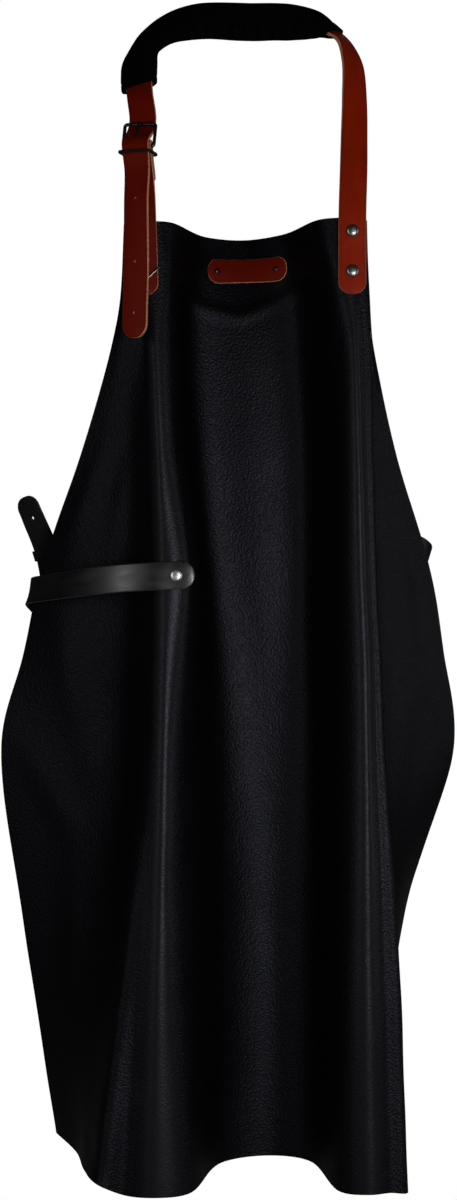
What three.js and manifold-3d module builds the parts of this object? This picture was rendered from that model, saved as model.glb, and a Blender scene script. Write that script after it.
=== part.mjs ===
// A leather bib apron, hanging by its neck strap with nobody in it.
// Millimetres, +Z up. The front faces -Y, the viewer's right is +X, and the origin is at the nape,
// in the middle of the padded part of the neck strap.
import * as THREE from "three";
import { mergeVertices } from "three/addons/utils/BufferGeometryUtils.js";
import Module from "manifold-3d";

const wasm = await Module();
wasm.setup();

// Driving sizes
const FRONT_Y = -92; // the plane that the foremost folds of the panel reach
const PANEL_THICK = 1.8;
const STRAP_WIDTH = 25;
const STRAP_THICK = 3.2;
const GAP = 0.4; // between pieces that touch
const PAD = { halfWidth: 18, halfThick: 5.6, squareness: 0.75, slotWidth: 27, slotThick: 5.6 };
const LABEL = { width: 23.5, thick: 2, endRadius: 10.5, lift: 0.9 };
const LABEL_ENDS = { left: -41.5, leftZ: -241.5, right: 36, rightZ: -239.5 };
const RIVET = { capRadius: 5.6, capHeight: 2.2, postRadius: 1.7, backRadius: 4.6, backHeight: 1.2 };
const LABEL_RIVET = { capRadius: 2.4, capHeight: 1.2, postRadius: 1, backRadius: 2.6, backHeight: 0.8 };
const BUCKLE = { width: 32, height: 25, wire: 3, corner: 4, bevel: 0.9 };
const PRONG_RADIUS = 1.2;
const BUCKLE_SLACK = 1.5; // of the strap behind a buckle's far bar
const LOOP_SLACK = 1; // of the strap round a buckle's heel bar
const PRONG_SLOT = [5, 13, 18]; // in the strap that holds a buckle, round its heel bar
const STAPLE = { wire: 1, leg: 5, tilt: -0.9 };
const UPPER_KEEPER = { z: -148.5, width: 30.2, height: 28, band: 1.6, depth: 2.6, corner: 3 };
const UPPER_KEEPER_SEAT = { out: -0.4, tilt: -0.12 };
const LOWER_KEEPER_Z = -266;
const WAIST_KEEPER = { width: 28.8, height: 7.6, band: 1.4, depth: 10, corner: 2.5 };
const NECK_HOLE_RADIUS = 1.5;
const WAIST_HOLE_RADIUS = 1.9;
const STRAP_GRIP = 7.2; // from a strap's face to the back of the panel
const WAIST_GRIP = 13;
const LABEL_GRIP = 5.2;
const RIVET_REACH = 15;

const BLACK_LEATHER = { color: "#161617", roughness: 0.5, metalness: 0 };
const BLACK_STRAP = { color: "#202022", roughness: 0.42, metalness: 0 };
const BROWN_LEATHER = { color: "#5e1709", roughness: 0.5, metalness: 0 };
const BLACK_FABRIC = { color: "#0b0b0c", roughness: 0.95, metalness: 0 };
const GUNMETAL = { color: "#3a3a3c", roughness: 0.35, metalness: 1 };
const STEEL = { color: "#b9bab8", roughness: 0.28, metalness: 1 };

// Levels of the panel from its top edge to the hem. The top edge and the yoke, a soft crease under the
// neckline, have a height of their own at each fold; the levels below are level.
const LEVEL_Z = { bib: -320, chest: -415, waist: -529, belly: -603, hip: -690, thigh: -862, hem: -1090 };
const LEVEL_ROWS = [4, 2, 3, 4, 3, 3, 4, 4]; // grid rows from each level to the next

// The folds of the panel from its left edge to its right edge, one row each: the grid columns to the next
// fold, the heights at the top edge and the yoke, and the lift at the hem, then the place across and the
// distance behind the front plane at the top, yoke, bib, chest, waist, belly, hip, thigh and hem.
const FOLDS = [
  { fold: "left edge", columns: 2, topZ: -212, yokeZ: -281, lift: 14,
    x: [-115, -119, -127, -157, -199, -216, -239, -220, -189],
    back: [9, 20, 26, 50, 84, 93, 106, 122, 140] },
  { fold: "left flap", columns: 3, topZ: -211, yokeZ: -278, lift: 8,
    x: [-111, -114, -119, -139, -168, -178, -186, -181, -167],
    back: [7, 14, 20, 40, 62, 70, 84, 100, 104] },
  { fold: "left flap root", columns: 3, topZ: -210, yokeZ: -275, lift: 10,
    x: [-107, -107, -107, -110, -115, -118, -120, -134, -154],
    back: [6, 9, 14, 26, 36, 43, 52, 58, 45] },
  { fold: "left shoulder", columns: 2, topZ: -210, yokeZ: -273, lift: 9,
    x: [-101, -100, -97, -97, -94, -95, -97, -112.5, -138],
    back: [5, 7, 9, 13, 14, 15, 15, 12, 6] },
  { fold: "left groove", columns: 2, topZ: -210, yokeZ: -272, lift: -2,
    x: [-96, -93, -91.5, -89, -85.5, -86, -88, -98, -114.5],
    back: [5, 5, 4, 4, 4.5, 4.5, 4.5, 7, 12] },
  { fold: "left ridge", columns: 2, topZ: -210, yokeZ: -271, lift: 0,
    x: [-90, -86, -85.5, -81.5, -76, -76, -78, -82, -87.5],
    back: [5, 5, 2, 0, 0, 0, 0, 0, 0] },
  { fold: "left wall", columns: 4, topZ: -209.5, yokeZ: -256, lift: 0,
    x: [-74, -74.5, -74, -69.5, -58, -61, -65.5, -67, -58],
    back: [12, 10, 10, 9, 5, 8, 9.5, 9.5, 10] },
  { fold: "valley left foot", columns: 4, topZ: -209.5, yokeZ: -272, lift: 5,
    x: [-42, -56, -57, -50, -39, -33, -29, -25, -27],
    back: [74, 67, 66.5, 68, 71, 72, 73, 76, 80] },
  { fold: "valley", columns: 4, topZ: -208.7, yokeZ: -285, lift: 6,
    x: [-6, -3, 0, 4, 9, 13, 17, 21, 21],
    back: [93, 77, 75.5, 75, 78.5, 82, 86, 93, 97] },
  { fold: "valley right foot", columns: 4, topZ: -207, yokeZ: -270, lift: 6,
    x: [31, 42, 46, 51, 52, 53, 55, 57, 57],
    back: [74, 67, 68, 70, 74, 75, 76, 78, 81] },
  { fold: "right wall", columns: 2, topZ: -207, yokeZ: -255, lift: 0,
    x: [64, 73, 78, 81, 82, 84, 85, 85, 82],
    back: [10, 9, 13, 13, 13, 13, 13, 12, 15] },
  { fold: "right ridge", columns: 2, topZ: -207, yokeZ: -272, lift: 2,
    x: [89, 91, 93, 96, 99, 102, 103.5, 104.5, 107],
    back: [4, 4, 1, 0, 0, 0, 0, 0, 2] },
  { fold: "beside the ridge", columns: 2, topZ: -207, yokeZ: -273, lift: 1,
    x: [95, 98, 101, 103.5, 107.5, 110.5, 112.5, 119, 127],
    back: [4.5, 6.5, 6.5, 6, 6.3, 6.6, 6.6, 7.5, 10] },
  { fold: "right rim", columns: 1, topZ: -208, yokeZ: -274, lift: 0,
    x: [101, 104, 107, 108.5, 112, 115.5, 119, 131, 139.5],
    back: [5, 8, 7.3, 6.4, 6.7, 7, 7.1, 8.5, 10.8] },
  { fold: "rim turn", columns: 2, topZ: -208, yokeZ: -274, lift: 0,
    x: [102, 105, 108.5, 110, 113.5, 117, 120.5, 133, 142],
    back: [6, 9.5, 10.8, 9.9, 10.2, 10.5, 10.6, 12, 14] },
  { fold: "behind the rim", columns: 2, topZ: -208, yokeZ: -275, lift: 0,
    x: [103, 106, 108.5, 107, 109, 111.5, 115, 129, 137],
    back: [7, 12, 21, 36, 47, 50, 53, 57, 46] },
  { fold: "right flap", columns: 2, topZ: -209, yokeZ: -277, lift: 0,
    x: [104, 107, 111, 124, 145, 154, 163, 143, 132],
    back: [9, 14, 26, 52, 80, 88, 98, 105, 95] },
  { fold: "right edge", columns: 0, topZ: -210, yokeZ: -279, lift: 0,
    x: [104, 106, 112, 136, 174, 187, 199, 152, 126],
    back: [11, 17, 30, 60, 98, 110, 124, 143, 140] },
];

// The neck strap from its riveted right end, up round the nape and down to its hanging tail. Each row is
// a point of its middle line and the direction across it, towards the inside of the loop.
const NECK_RIGHT = [
  { at: [91, -91.2, -276], across: [-1, 0, 0] },
  { at: [91, -91.2, -240], across: [-1, 0, 0] },
  { at: [91.2, -91, -200], across: [-1, 0, 0] },
  { at: [92.8, -82, -166], across: [-1, -0.05, 0] },
  { at: [94.6, -65, -131], across: [-0.97, -0.2, 0] },
  { at: [96.4, -46, -88], across: [-0.9, -0.4, 0] },
  { at: [96, -27, -48], across: [-0.75, -0.65, -0.1] },
  { at: [90, -13, -25], across: [-0.45, -0.85, -0.25] },
  { at: [80, -5, -13], across: [-0.25, -0.85, -0.45] },
  { at: [62, -2, -4], across: [-0.1, -0.5, -0.86] },
  { at: [35, 0, 0], across: [0, -0.1, -1] },
  { at: [0, 0, 0], across: [0, 0, -1] },
];
const NECK_LEFT = [
  { at: [-45, -1, 0.5], across: [0.05, -0.15, -1] },
  { at: [-70, -5, -6], across: [0.25, -0.4, -0.88] },
  { at: [-89, -12, -19], across: [0.55, -0.6, -0.55] },
  { at: [-102, -26, -40], across: [0.75, -0.64, -0.15] },
  { at: [-103.5, -46, -62], across: [0.9, -0.4, 0] },
  { at: [-101.5, -66, -90], across: [0.93, -0.34, 0] },
];
const NECK_TAIL = [
  { at: [-102.5, -95, -166], across: [0.9, -0.43, 0] },
  { at: [-103, -101, -195], across: [0.87, -0.5, 0] },
  { at: [-102.8, -104, -250], across: [0.89, -0.46, 0] },
  { at: [-103.8, -104, -296], across: [0.89, -0.46, 0] },
  { at: [-104.3, -104, -318], across: [0.89, -0.46, 0] },
];
const PAD_SPAN = { from: 0.36, to: 0.686 }; // the share of the neck strap that the pad covers
const TAIL_HOLES_Z = [-193, -250, -296];
const RIGHT_RIVETS_Z = [-220, -256];

// The short strap that holds the neck buckle: riveted on the left shoulder, up over the buckle's heel bar.
const CHAPE_LOW = [
  { at: [-96, -90.7, -277], across: [-1, 0, 0] },
  { at: [-97, -90.7, -240], across: [-1, 0, 0] },
  { at: [-98.2, -90.7, -207], across: [-1, 0, 0] },
  { at: [-99.5, -87, -172], across: [-0.95, 0.3, 0] },
];
const CHAPE_BACK_LENGTH = 34; // of the ply turned back behind the heel bar
const WAIST_BACK_LENGTH = 24;
const LEFT_RIVETS_Z = [-220, -246];

// The neck buckle's place: its middle, the way up the strap and the way across it.
const NECK_BUCKLE = { at: [-101.2, -81.2, -131], up: [0.08, 0.2, 0.98], across: [0.97, -0.22, 0] };

// The waist strap on the left front: over the left ridge, round the panel's edge, then down behind it.
const WAIST_FRONT = [
  { at: [-51, -97.8, -529], across: [0, 0, -1] },
  { at: [-67, -96.4, -530], across: [0, 0, -1] },
  { at: [-91, -94.8, -531], across: [0, 0, -1] },
  { at: [-124, -84, -533], across: [0, 0, -1] },
  { at: [-162, -60, -537], across: [0, 0, -1] },
  { at: [-194, -24, -541], across: [-0.08, 0, -1] },
  { at: [-209, -3, -544], across: [-0.18, 0, -0.98] },
  { at: [-205, 7, -550], across: [-0.42, 0.1, -0.9] },
  { at: [-194, 9, -564], across: [-0.85, 0.1, -0.5] },
];
const WAIST_BUCKLE = { at: [-174, 9, -604], up: [0.45, -0.05, -0.88], across: [0.88, 0, 0.45] };
const WAIST_RIVET_SHARE = 0.055;
const LABEL_RIVETS = [
  { name: "label_rivet_left", share: 0.12 },
  { name: "label_rivet_right", share: 0.86 },
];

// The other waist strap: sewn inside the right flap, out past its edge, round the back, through the buckle
// and up to its tail.
const WAIST_BACK = [
  { at: [131, -21.2, -502], across: [0, -0.08, 1] },
  { at: [145, -10.2, -502], across: [0, -0.1, 1] },
  { at: [158, -1.8, -502.5], across: [0.05, -0.1, 1] },
  { at: [170, 14, -510], across: [0.3, 0, 0.95] },
  { at: [170.5, 42, -520], across: [0.25, 0, 0.97] },
  { at: [159, 92, -537], across: [0.1, 0.1, 1] },
  { at: [118, 146, -562], across: [0, 0, 1] },
  { at: [50, 184, -600], across: [-0.2, 0, 1] },
  { at: [-30, 190, -640], across: [-0.25, 0, 1] },
  { at: [-100, 156, -664], across: [-0.1, 0, 1] },
  { at: [-146, 92, -664], across: [0.2, 0, 0.95] },
  { at: [-158, 40, -645], across: [0.6, 0, 0.7] },
];
const WAIST_TAIL = [
  { at: [-188, 21.5, -545], across: [0.9, -0.2, 0.33] },
  { at: [-195.5, 15, -506], across: [0.85, -0.4, 0.33] },
  { at: [-208, 11, -474], across: [0.8, -0.5, 0.33] },
  { at: [-217, 10, -453], across: [0.8, -0.5, 0.33] },
];
const WAIST_KEEPER_Z = -507;
const WAIST_HOLES_Z = [-473, -522];

const vector = (list) => new THREE.Vector3(...list);
const smooth = (points) => new THREE.CatmullRomCurve3(points, false, "centripetal");

// Solids for cuts and joins
function solidOf(geometry) {
  const bare = geometry.index ? geometry.toNonIndexed() : geometry.clone();
  bare.deleteAttribute("normal");
  bare.deleteAttribute("uv");
  const merged = mergeVertices(bare, 1e-4);
  return new wasm.Manifold(
    new wasm.Mesh({
      numProp: 3,
      vertProperties: new Float32Array(merged.attributes.position.array),
      triVerts: new Uint32Array(merged.index.array),
    }),
  );
}

function geometryOf(solid) {
  const mesh = solid.getMesh();
  const geometry = new THREE.BufferGeometry();
  geometry.setAttribute("position", new THREE.BufferAttribute(mesh.vertProperties, 3));
  geometry.setIndex(new THREE.BufferAttribute(mesh.triVerts, 1));
  return geometry;
}

function cut(geometry, tools) {
  return geometryOf(tools.reduce((solid, tool) => solid.subtract(solidOf(tool)), solidOf(geometry)));
}

// A drill along a direction through a point.
function drill(at, direction, radius, length) {
  const turn = new THREE.Quaternion().setFromUnitVectors(new THREE.Vector3(0, 1, 0), direction);
  const rod = new THREE.CylinderGeometry(radius, radius, length, 8);
  return rod.applyQuaternion(turn).translate(...at.toArray());
}

// Moves each vertex of a geometry by a rule.
function reshape(geometry, rule) {
  const place = geometry.attributes.position;
  const corner = new THREE.Vector3();
  for (let i = 0; i < place.count; i += 1) {
    const moved = rule(corner.fromBufferAttribute(place, i));
    place.setXYZ(i, moved.x, moved.y, moved.z);
  }
  return geometry;
}

// A route that a strap follows: its middle line, and at each share of its length the way along it,
// across it and out of its face.
function routeOf(rows) {
  const middle = smooth(rows.map((row) => vector(row.at)));
  const side = smooth(rows.map((row) => vector(row.across)));
  middle.arcLengthDivisions = 1200;
  const frame = (share) => {
    const t = middle.getUtoTmapping(share);
    const along = middle.getTangent(t);
    const across = side.getPoint(t);
    across.addScaledVector(along, -across.dot(along)).normalize();
    return { at: middle.getPoint(t), along, across, out: along.clone().cross(across) };
  };
  return { frame, length: middle.getLength() };
}

// A point beside a route: across it and out of its face.
function beside({ at, across, out }, sideways, outwards) {
  return at.clone().addScaledVector(across, sideways).addScaledVector(out, outwards);
}

// Shares of a strap's length: even steps, with more steps in its rounded ends.
function sharesOf(length, steps, startRadius, endRadius) {
  const fine = [0, 0.1, 0.4];
  const starts = fine.map((part) => (part * startRadius) / length);
  const ends = fine.map((part) => 1 - (part * endRadius) / length).reverse();
  const first = startRadius / length;
  const last = 1 - endRadius / length;
  const evens = Array.from({ length: steps + 1 }, (_, i) => first + ((last - first) * i) / steps);
  return [...starts, ...evens, ...ends];
}

// Half the width of a strap near an end whose corners are rounded.
function halfWidthAt(distance, halfWidth, radius) {
  if (distance >= radius) return halfWidth;
  const flat = Math.max(halfWidth - radius, 0.12 * halfWidth);
  return flat + (halfWidth - flat) * Math.sqrt(1 - (1 - distance / radius) ** 2);
}

// A strap of rectangular section along a route, with rounded ends.
function strapGeometry(route, { width = STRAP_WIDTH, thick = STRAP_THICK, steps, startRadius, endRadius }) {
  const shares = sharesOf(route.length, steps, startRadius, endRadius);
  const count = shares.length - 1;
  return reshape(new THREE.BoxGeometry(1, 1, 1, count, 1, 1), (corner) => {
    const share = shares[Math.round((corner.x + 0.5) * count)];
    const fromStart = halfWidthAt(share * route.length, width / 2, startRadius);
    const fromEnd = halfWidthAt((1 - share) * route.length, width / 2, endRadius);
    const sideways = 2 * corner.y * Math.min(fromStart, fromEnd);
    return beside(route.frame(share), sideways, corner.z * thick);
  });
}

// A drill through the strap at a share of its length.
function strapDrill(route, share, radius) {
  const { at, out } = route.frame(share);
  return drill(at, out, radius, 4 * STRAP_THICK);
}

// The share of a route where it first reaches a height, searched within a span.
function shareAtHeight(route, z, from, to) {
  let [low, high] = [from, to];
  const falling = route.frame(from).at.z > route.frame(to).at.z;
  for (let i = 0; i < 40; i += 1) {
    const half = (low + high) / 2;
    const below = route.frame(half).at.z < z;
    if (below === falling) high = half;
    else low = half;
  }
  return (low + high) / 2;
}

// A frame of directions for a buckle, from the way up the strap and the way across it.
function buckleFrame({ at, up, across }) {
  const along = vector(up).normalize();
  const side = vector(across);
  side.addScaledVector(along, -side.dot(along)).normalize();
  const out = side.clone().cross(along);
  return new THREE.Matrix4().makeBasis(side, along, out).setPosition(vector(at));
}

const HEEL_HEIGHT = -(BUCKLE.height - BUCKLE.wire) / 2;
const PLY_OFFSET = BUCKLE.wire / 2 + GAP + STRAP_THICK / 2; // middle of a strap that touches the wire
const OVER_HEEL = PLY_OFFSET + STRAP_THICK + 4 * GAP + 2 * LOOP_SLACK; // and of a strap over such a ply

// Rows of a strap route given in a buckle's own frame: height up the frame and distance out of it. The
// strap runs down the frame where side is 1 and up it where side is -1.
function buckleRows(matrix, side, places) {
  const across = new THREE.Vector3().setFromMatrixColumn(matrix, 0).multiplyScalar(side).toArray();
  return places.map(([height, out]) => ({
    at: new THREE.Vector3(0, height, out).applyMatrix4(matrix).toArray(),
    across,
  }));
}

// The strap that the buckle takes: behind its far bar, out through the frame and over its heel bar.
function throughBuckle(matrix) {
  return buckleRows(matrix, 1, [
    [-HEEL_HEIGHT + BUCKLE.wire * 3, -PLY_OFFSET - BUCKLE_SLACK],
    [-HEEL_HEIGHT, -PLY_OFFSET - BUCKLE_SLACK],
    [0, 1.5],
    [HEEL_HEIGHT, OVER_HEEL],
  ]);
}

// The strap that holds the buckle: over the heel bar and a short way back behind itself.
function holdingBuckle(rows, matrix, backLength) {
  const radius = PLY_OFFSET + LOOP_SLACK;
  const loop = [0, 45, 90, 135, 180].map((angle) => {
    const turn = THREE.MathUtils.degToRad(angle);
    return [HEEL_HEIGHT + radius * Math.sin(turn), radius * Math.cos(turn)];
  });
  const loopRows = buckleRows(matrix, -1, loop);
  const main = routeOf([...rows, loopRows[0]]);
  const back = [0.45, 0.7, 1].map((part) => {
    const frame = main.frame(1 - (part * backLength) / main.length);
    return { at: beside(frame, 0, -STRAP_THICK - 2 * GAP).toArray(), across: frame.across.toArray() };
  });
  return routeOf([...rows, ...loopRows, ...back]);
}

// The panel: a grid of points through the folds, then given its thickness
function foldCurve({ topZ, yokeZ, lift, x, back }) {
  const heights = [topZ, yokeZ, ...Object.values(LEVEL_Z)];
  heights[heights.length - 1] += lift;
  return smooth(heights.map((z, i) => new THREE.Vector3(x[i], FRONT_Y + back[i], z)));
}

// Evenly split spans as curve parameters from 0 to 1.
function parameters(counts) {
  const list = counts.flatMap((count, i) =>
    Array.from({ length: count }, (_, k) => (i + k / count) / counts.length),
  );
  return [...list, 1];
}

function panelGrid() {
  const curves = FOLDS.map(foldCurve);
  const columns = parameters(FOLDS.slice(0, -1).map((fold) => fold.columns));
  return parameters(LEVEL_ROWS).map((t) => {
    const section = smooth(curves.map((curve) => curve.getPoint(t)));
    return columns.map((s) => section.getPoint(s));
  });
}

function gridNormal(grid, row, column) {
  const clampRow = (i) => grid[THREE.MathUtils.clamp(i, 0, grid.length - 1)];
  const clampColumn = (list, i) => list[THREE.MathUtils.clamp(i, 0, list.length - 1)];
  const right = clampColumn(grid[row], column + 1).clone().sub(clampColumn(grid[row], column - 1));
  const up = clampRow(row - 1)[column].clone().sub(clampRow(row + 1)[column]);
  return right.cross(up).normalize();
}

function panelGeometry() {
  const grid = panelGrid();
  const rows = grid.length - 1;
  const columns = grid[0].length - 1;
  return reshape(new THREE.BoxGeometry(1, 1, 1, columns, rows, 1), (corner) => {
    const row = Math.round((0.5 - corner.y) * rows);
    const column = Math.round((corner.x + 0.5) * columns);
    return grid[row][column].clone().addScaledVector(gridNormal(grid, row, column), corner.z * PANEL_THICK);
  });
}

// The point of the panel's front face seen from straight ahead at (x, z), and the way out of that face.
function panelFace(mesh, x, z) {
  const ray = new THREE.Raycaster(new THREE.Vector3(x, -400, z), new THREE.Vector3(0, 1, 0));
  const hit = ray.intersectObject(mesh)[0];
  return { at: hit.point, out: hit.face.normal.clone() };
}

// A rivet: a domed cap, a post through the leather and a back cap, turned to point along a direction.
function rivetGeometry(size, grip) {
  const { capRadius, capHeight, postRadius, backRadius, backHeight } = size;
  const profile = [
    [0, -grip - GAP - backHeight],
    [backRadius * 0.8, -grip - GAP - backHeight],
    [backRadius, -grip - GAP - backHeight / 2],
    [backRadius, -grip - GAP],
    [postRadius, -grip - GAP],
    [postRadius, GAP],
    [capRadius, GAP],
    [capRadius, GAP + capHeight * 0.35],
    [capRadius * 0.72, GAP + capHeight * 0.85],
    [0, GAP + capHeight],
  ];
  return new THREE.LatheGeometry(profile.map(([r, y]) => new THREE.Vector2(r, y)), 9);
}

const apron = new THREE.Group();

function addMesh(name, geometry, look, matrix = new THREE.Matrix4()) {
  const mesh = new THREE.Mesh(geometry, new THREE.MeshStandardMaterial(look));
  mesh.name = name;
  mesh.applyMatrix4(matrix);
  apron.add(mesh);
  return mesh;
}

// A rivet whose cap sits on a face: at is on that face and out points away from it.
function addRivet(name, size, { at, out }, grip, look) {
  const turn = new THREE.Quaternion().setFromUnitVectors(new THREE.Vector3(0, 1, 0), out);
  const place = new THREE.Matrix4().makeRotationFromQuaternion(turn).setPosition(at);
  addMesh(name, rivetGeometry(size, grip), look, place);
}

function roundedBar(path, width, height, corner) {
  const [w, h] = [width / 2, height / 2];
  path.moveTo(-w + corner, -h);
  path.lineTo(w - corner, -h);
  path.absarc(w - corner, -h + corner, corner, -Math.PI / 2, 0);
  path.lineTo(w, h - corner);
  path.absarc(w - corner, h - corner, corner, 0, Math.PI / 2);
  path.lineTo(-w + corner, h);
  path.absarc(-w + corner, h - corner, corner, Math.PI / 2, Math.PI);
  path.lineTo(-w, -h + corner);
  path.absarc(-w + corner, -h + corner, corner, Math.PI, 1.5 * Math.PI);
  return path;
}

// A flat ring with rounded corners, lying in its own XY plane.
function ringGeometry({ width, height, band, depth, corner, bevel = 0 }) {
  const outline = roundedBar(new THREE.Shape(), width - 2 * bevel, height - 2 * bevel, corner);
  const wall = 2 * (band - bevel);
  const inner = Math.max(corner - band + bevel, 0.6);
  outline.holes.push(roundedBar(new THREE.Path(), width - wall, height - wall, inner));
  const settings = { depth: depth - 2 * bevel, curveSegments: 2, bevelEnabled: bevel > 0, bevelSegments: 1 };
  const ring = new THREE.ExtrudeGeometry(outline, { ...settings, bevelSize: bevel, bevelThickness: bevel });
  return ring.translate(0, 0, -depth / 2 + bevel);
}

// The prong in its buckle's frame: hooked round the heel bar, up through the strap and on to the far bar.
function prongGeometry(radius) {
  const reach = BUCKLE.wire / 2 + GAP + PRONG_RADIUS;
  const hook = [200, 240, 290, 340, 390].map((angle) => {
    const turn = THREE.MathUtils.degToRad(angle);
    return new THREE.Vector3(0, HEEL_HEIGHT + reach * Math.sin(turn), reach * Math.cos(turn));
  });
  const tip = [new THREE.Vector3(0, 0, reach + 0.6), new THREE.Vector3(0, -HEEL_HEIGHT, reach)];
  const end = new THREE.Vector3(0, -HEEL_HEIGHT + BUCKLE.wire * 0.4, reach);
  const section = new THREE.Shape().absarc(0, 0, radius, 0, 2 * Math.PI);
  const extrudePath = smooth([...hook, ...tip, end]);
  return new THREE.ExtrudeGeometry(section, { steps: 13, curveSegments: 3, extrudePath });
}

// A buckle's two pieces, and the room that its prong needs in the straps.
function addBuckle(prefix, matrix) {
  const ring = ringGeometry({ ...BUCKLE, band: BUCKLE.wire, depth: BUCKLE.wire });
  addMesh(`${prefix}_frame`, ring, GUNMETAL, matrix);
  addMesh(`${prefix}_prong`, prongGeometry(PRONG_RADIUS), GUNMETAL, matrix);
  return {
    prong: prongGeometry(PRONG_RADIUS + GAP).applyMatrix4(matrix),
    slot: new THREE.BoxGeometry(...PRONG_SLOT).translate(0, HEEL_HEIGHT + 1.5, 0).applyMatrix4(matrix),
  };
}

// The place of a loop round a strap: its ring lies across the strap.
function loopMatrix(frame, outwards) {
  const basis = new THREE.Matrix4().makeBasis(frame.across, frame.out, frame.along);
  return basis.setPosition(beside(frame, 0, outwards));
}

// The face of a strap at a share of its length, where a rivet's cap sits.
function strapFace(route, share, thick = STRAP_THICK) {
  const frame = route.frame(share);
  return { at: beside(frame, 0, thick / 2), out: frame.out };
}

// The staple that holds the short strap down: a wire across its front with a leg at each edge.
function stapleGeometry(frame) {
  const { wire, leg, tilt } = STAPLE;
  const side = STRAP_WIDTH / 2 + GAP + wire;
  const front = STRAP_THICK / 2 + GAP + wire;
  const half = [[1, front], [0, front - 1], [0, front - leg]];
  const spots = [
    ...half.map(([inset, out]) => [inset - side, out]).reverse(),
    ...half.map(([inset, out]) => [side - inset, out]),
  ];
  const points = spots.map(([across, out]) =>
    beside(frame, across, out).addScaledVector(frame.along, tilt * across));
  const section = new THREE.Shape().absarc(0, 0, wire, 0, 2 * Math.PI);
  return new THREE.ExtrudeGeometry(section, { steps: 16, curveSegments: 3, extrudePath: smooth(points) });
}

// The sleeve of the neck pad: a soft rounded tube with a slot for the strap.
function padGeometry(route, { from, to }) {
  const { halfWidth, halfThick, slotWidth, slotThick } = PAD;
  const [sides, steps] = [12, 18];
  const tube = new THREE.CylinderGeometry(1, 1, 1, sides, steps);
  const square = (value) => Math.sign(value) * Math.abs(value) ** PAD.squareness;
  const outer = reshape(tube, (corner) => {
    const frame = route.frame(from + (to - from) * (corner.y + 0.5));
    return beside(frame, square(corner.x) * halfWidth, -square(corner.z) * halfThick);
  });
  const past = 0.01;
  const slot = reshape(new THREE.BoxGeometry(1, 1, 1, 2 * steps, 1, 1), (corner) => {
    const frame = route.frame(from - past + (to - from + 2 * past) * (corner.x + 0.5));
    return beside(frame, corner.y * slotWidth, corner.z * slotThick);
  });
  return cut(outer, [slot]);
}

// The label patch lies on the panel below the neckline.
function labelRoute(panel) {
  const { left, leftZ, right, rightZ } = LABEL_ENDS;
  const rows = [0, 0.2, 0.4, 0.6, 0.8, 1].map((part) => {
    const [x, z] = [left + (right - left) * part, leftZ + (rightZ - leftZ) * part];
    const face = panelFace(panel, x, z);
    const across = face.out.clone().cross(new THREE.Vector3(1, 0, 0));
    const at = face.at.addScaledVector(face.out, LABEL.thick / 2 + LABEL.lift);
    return { at: at.toArray(), across: across.toArray() };
  });
  return routeOf(rows);
}

apron.name = "leather_apron";
const plainPanel = new THREE.Mesh(panelGeometry());
const neckMatrix = buckleFrame(NECK_BUCKLE);
const waistMatrix = buckleFrame(WAIST_BUCKLE);
const neckRoom = addBuckle("neck_buckle", neckMatrix);
const waistRoom = addBuckle("waist_buckle", waistMatrix);
const panelDrills = [];

// Joins a strap to the panel with a rivet, and returns the drill for the strap.
function rivetThrough(name, face, grip, look, size = RIVET) {
  addRivet(name, size, face, grip, look);
  const hole = drill(face.at, face.out, size.postRadius + GAP, 2 * RIVET_REACH);
  panelDrills.push(hole);
  return hole;
}

// Neck strap
const neckThrough = throughBuckle(neckMatrix);
const neckRoute = routeOf([...NECK_RIGHT, ...NECK_LEFT, ...neckThrough, ...NECK_TAIL]);
const neckDrills = TAIL_HOLES_Z.map((z) =>
  strapDrill(neckRoute, shareAtHeight(neckRoute, z, 0.72, 1), NECK_HOLE_RADIUS));
RIGHT_RIVETS_Z.forEach((z, i) => {
  const face = strapFace(neckRoute, shareAtHeight(neckRoute, z, 0, 0.15));
  neckDrills.push(rivetThrough(`strap_rivet_right_${i + 1}`, face, STRAP_GRIP, GUNMETAL));
});
const neckStrap = strapGeometry(neckRoute, { steps: 64, startRadius: 10, endRadius: 12 });
addMesh("neck_strap", cut(neckStrap, [...neckDrills, neckRoom.prong]), BROWN_LEATHER);
addMesh("neck_pad", padGeometry(neckRoute, PAD_SPAN), BLACK_FABRIC);

// Short strap with the neck buckle, and its two loops
const chapeRoute = holdingBuckle(CHAPE_LOW, neckMatrix, CHAPE_BACK_LENGTH);
const chapeDrills = LEFT_RIVETS_Z.map((z, i) => {
  const face = strapFace(chapeRoute, shareAtHeight(chapeRoute, z, 0, 0.4));
  return rivetThrough(`strap_rivet_left_${i + 1}`, face, STRAP_GRIP, GUNMETAL);
});
const chape = strapGeometry(chapeRoute, { steps: 36, startRadius: 10, endRadius: 3 });
addMesh("buckle_strap", cut(chape, [...chapeDrills, neckRoom.slot]), BROWN_LEATHER);

// Label patch
const patchRoute = labelRoute(plainPanel);
const patchDrills = LABEL_RIVETS.map(({ name, share }) => {
  const face = strapFace(patchRoute, share, LABEL.thick);
  return rivetThrough(name, face, LABEL_GRIP, GUNMETAL, LABEL_RIVET);
});
const { width, thick, endRadius } = LABEL;
const patch = strapGeometry(patchRoute, { width, thick, steps: 12, startRadius: endRadius, endRadius });
addMesh("label_patch", cut(patch, patchDrills), BROWN_LEATHER);

// Waist straps
const waistLeft = holdingBuckle(WAIST_FRONT, waistMatrix, WAIST_BACK_LENGTH);
const waistFace = strapFace(waistLeft, WAIST_RIVET_SHARE);
const waistDrill = rivetThrough("waist_rivet_left", waistFace, WAIST_GRIP, STEEL);
const waistFront = strapGeometry(waistLeft, { steps: 44, startRadius: 12, endRadius: 3 });
addMesh("waist_strap_left", cut(waistFront, [waistDrill, waistRoom.slot]), BLACK_STRAP);

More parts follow.
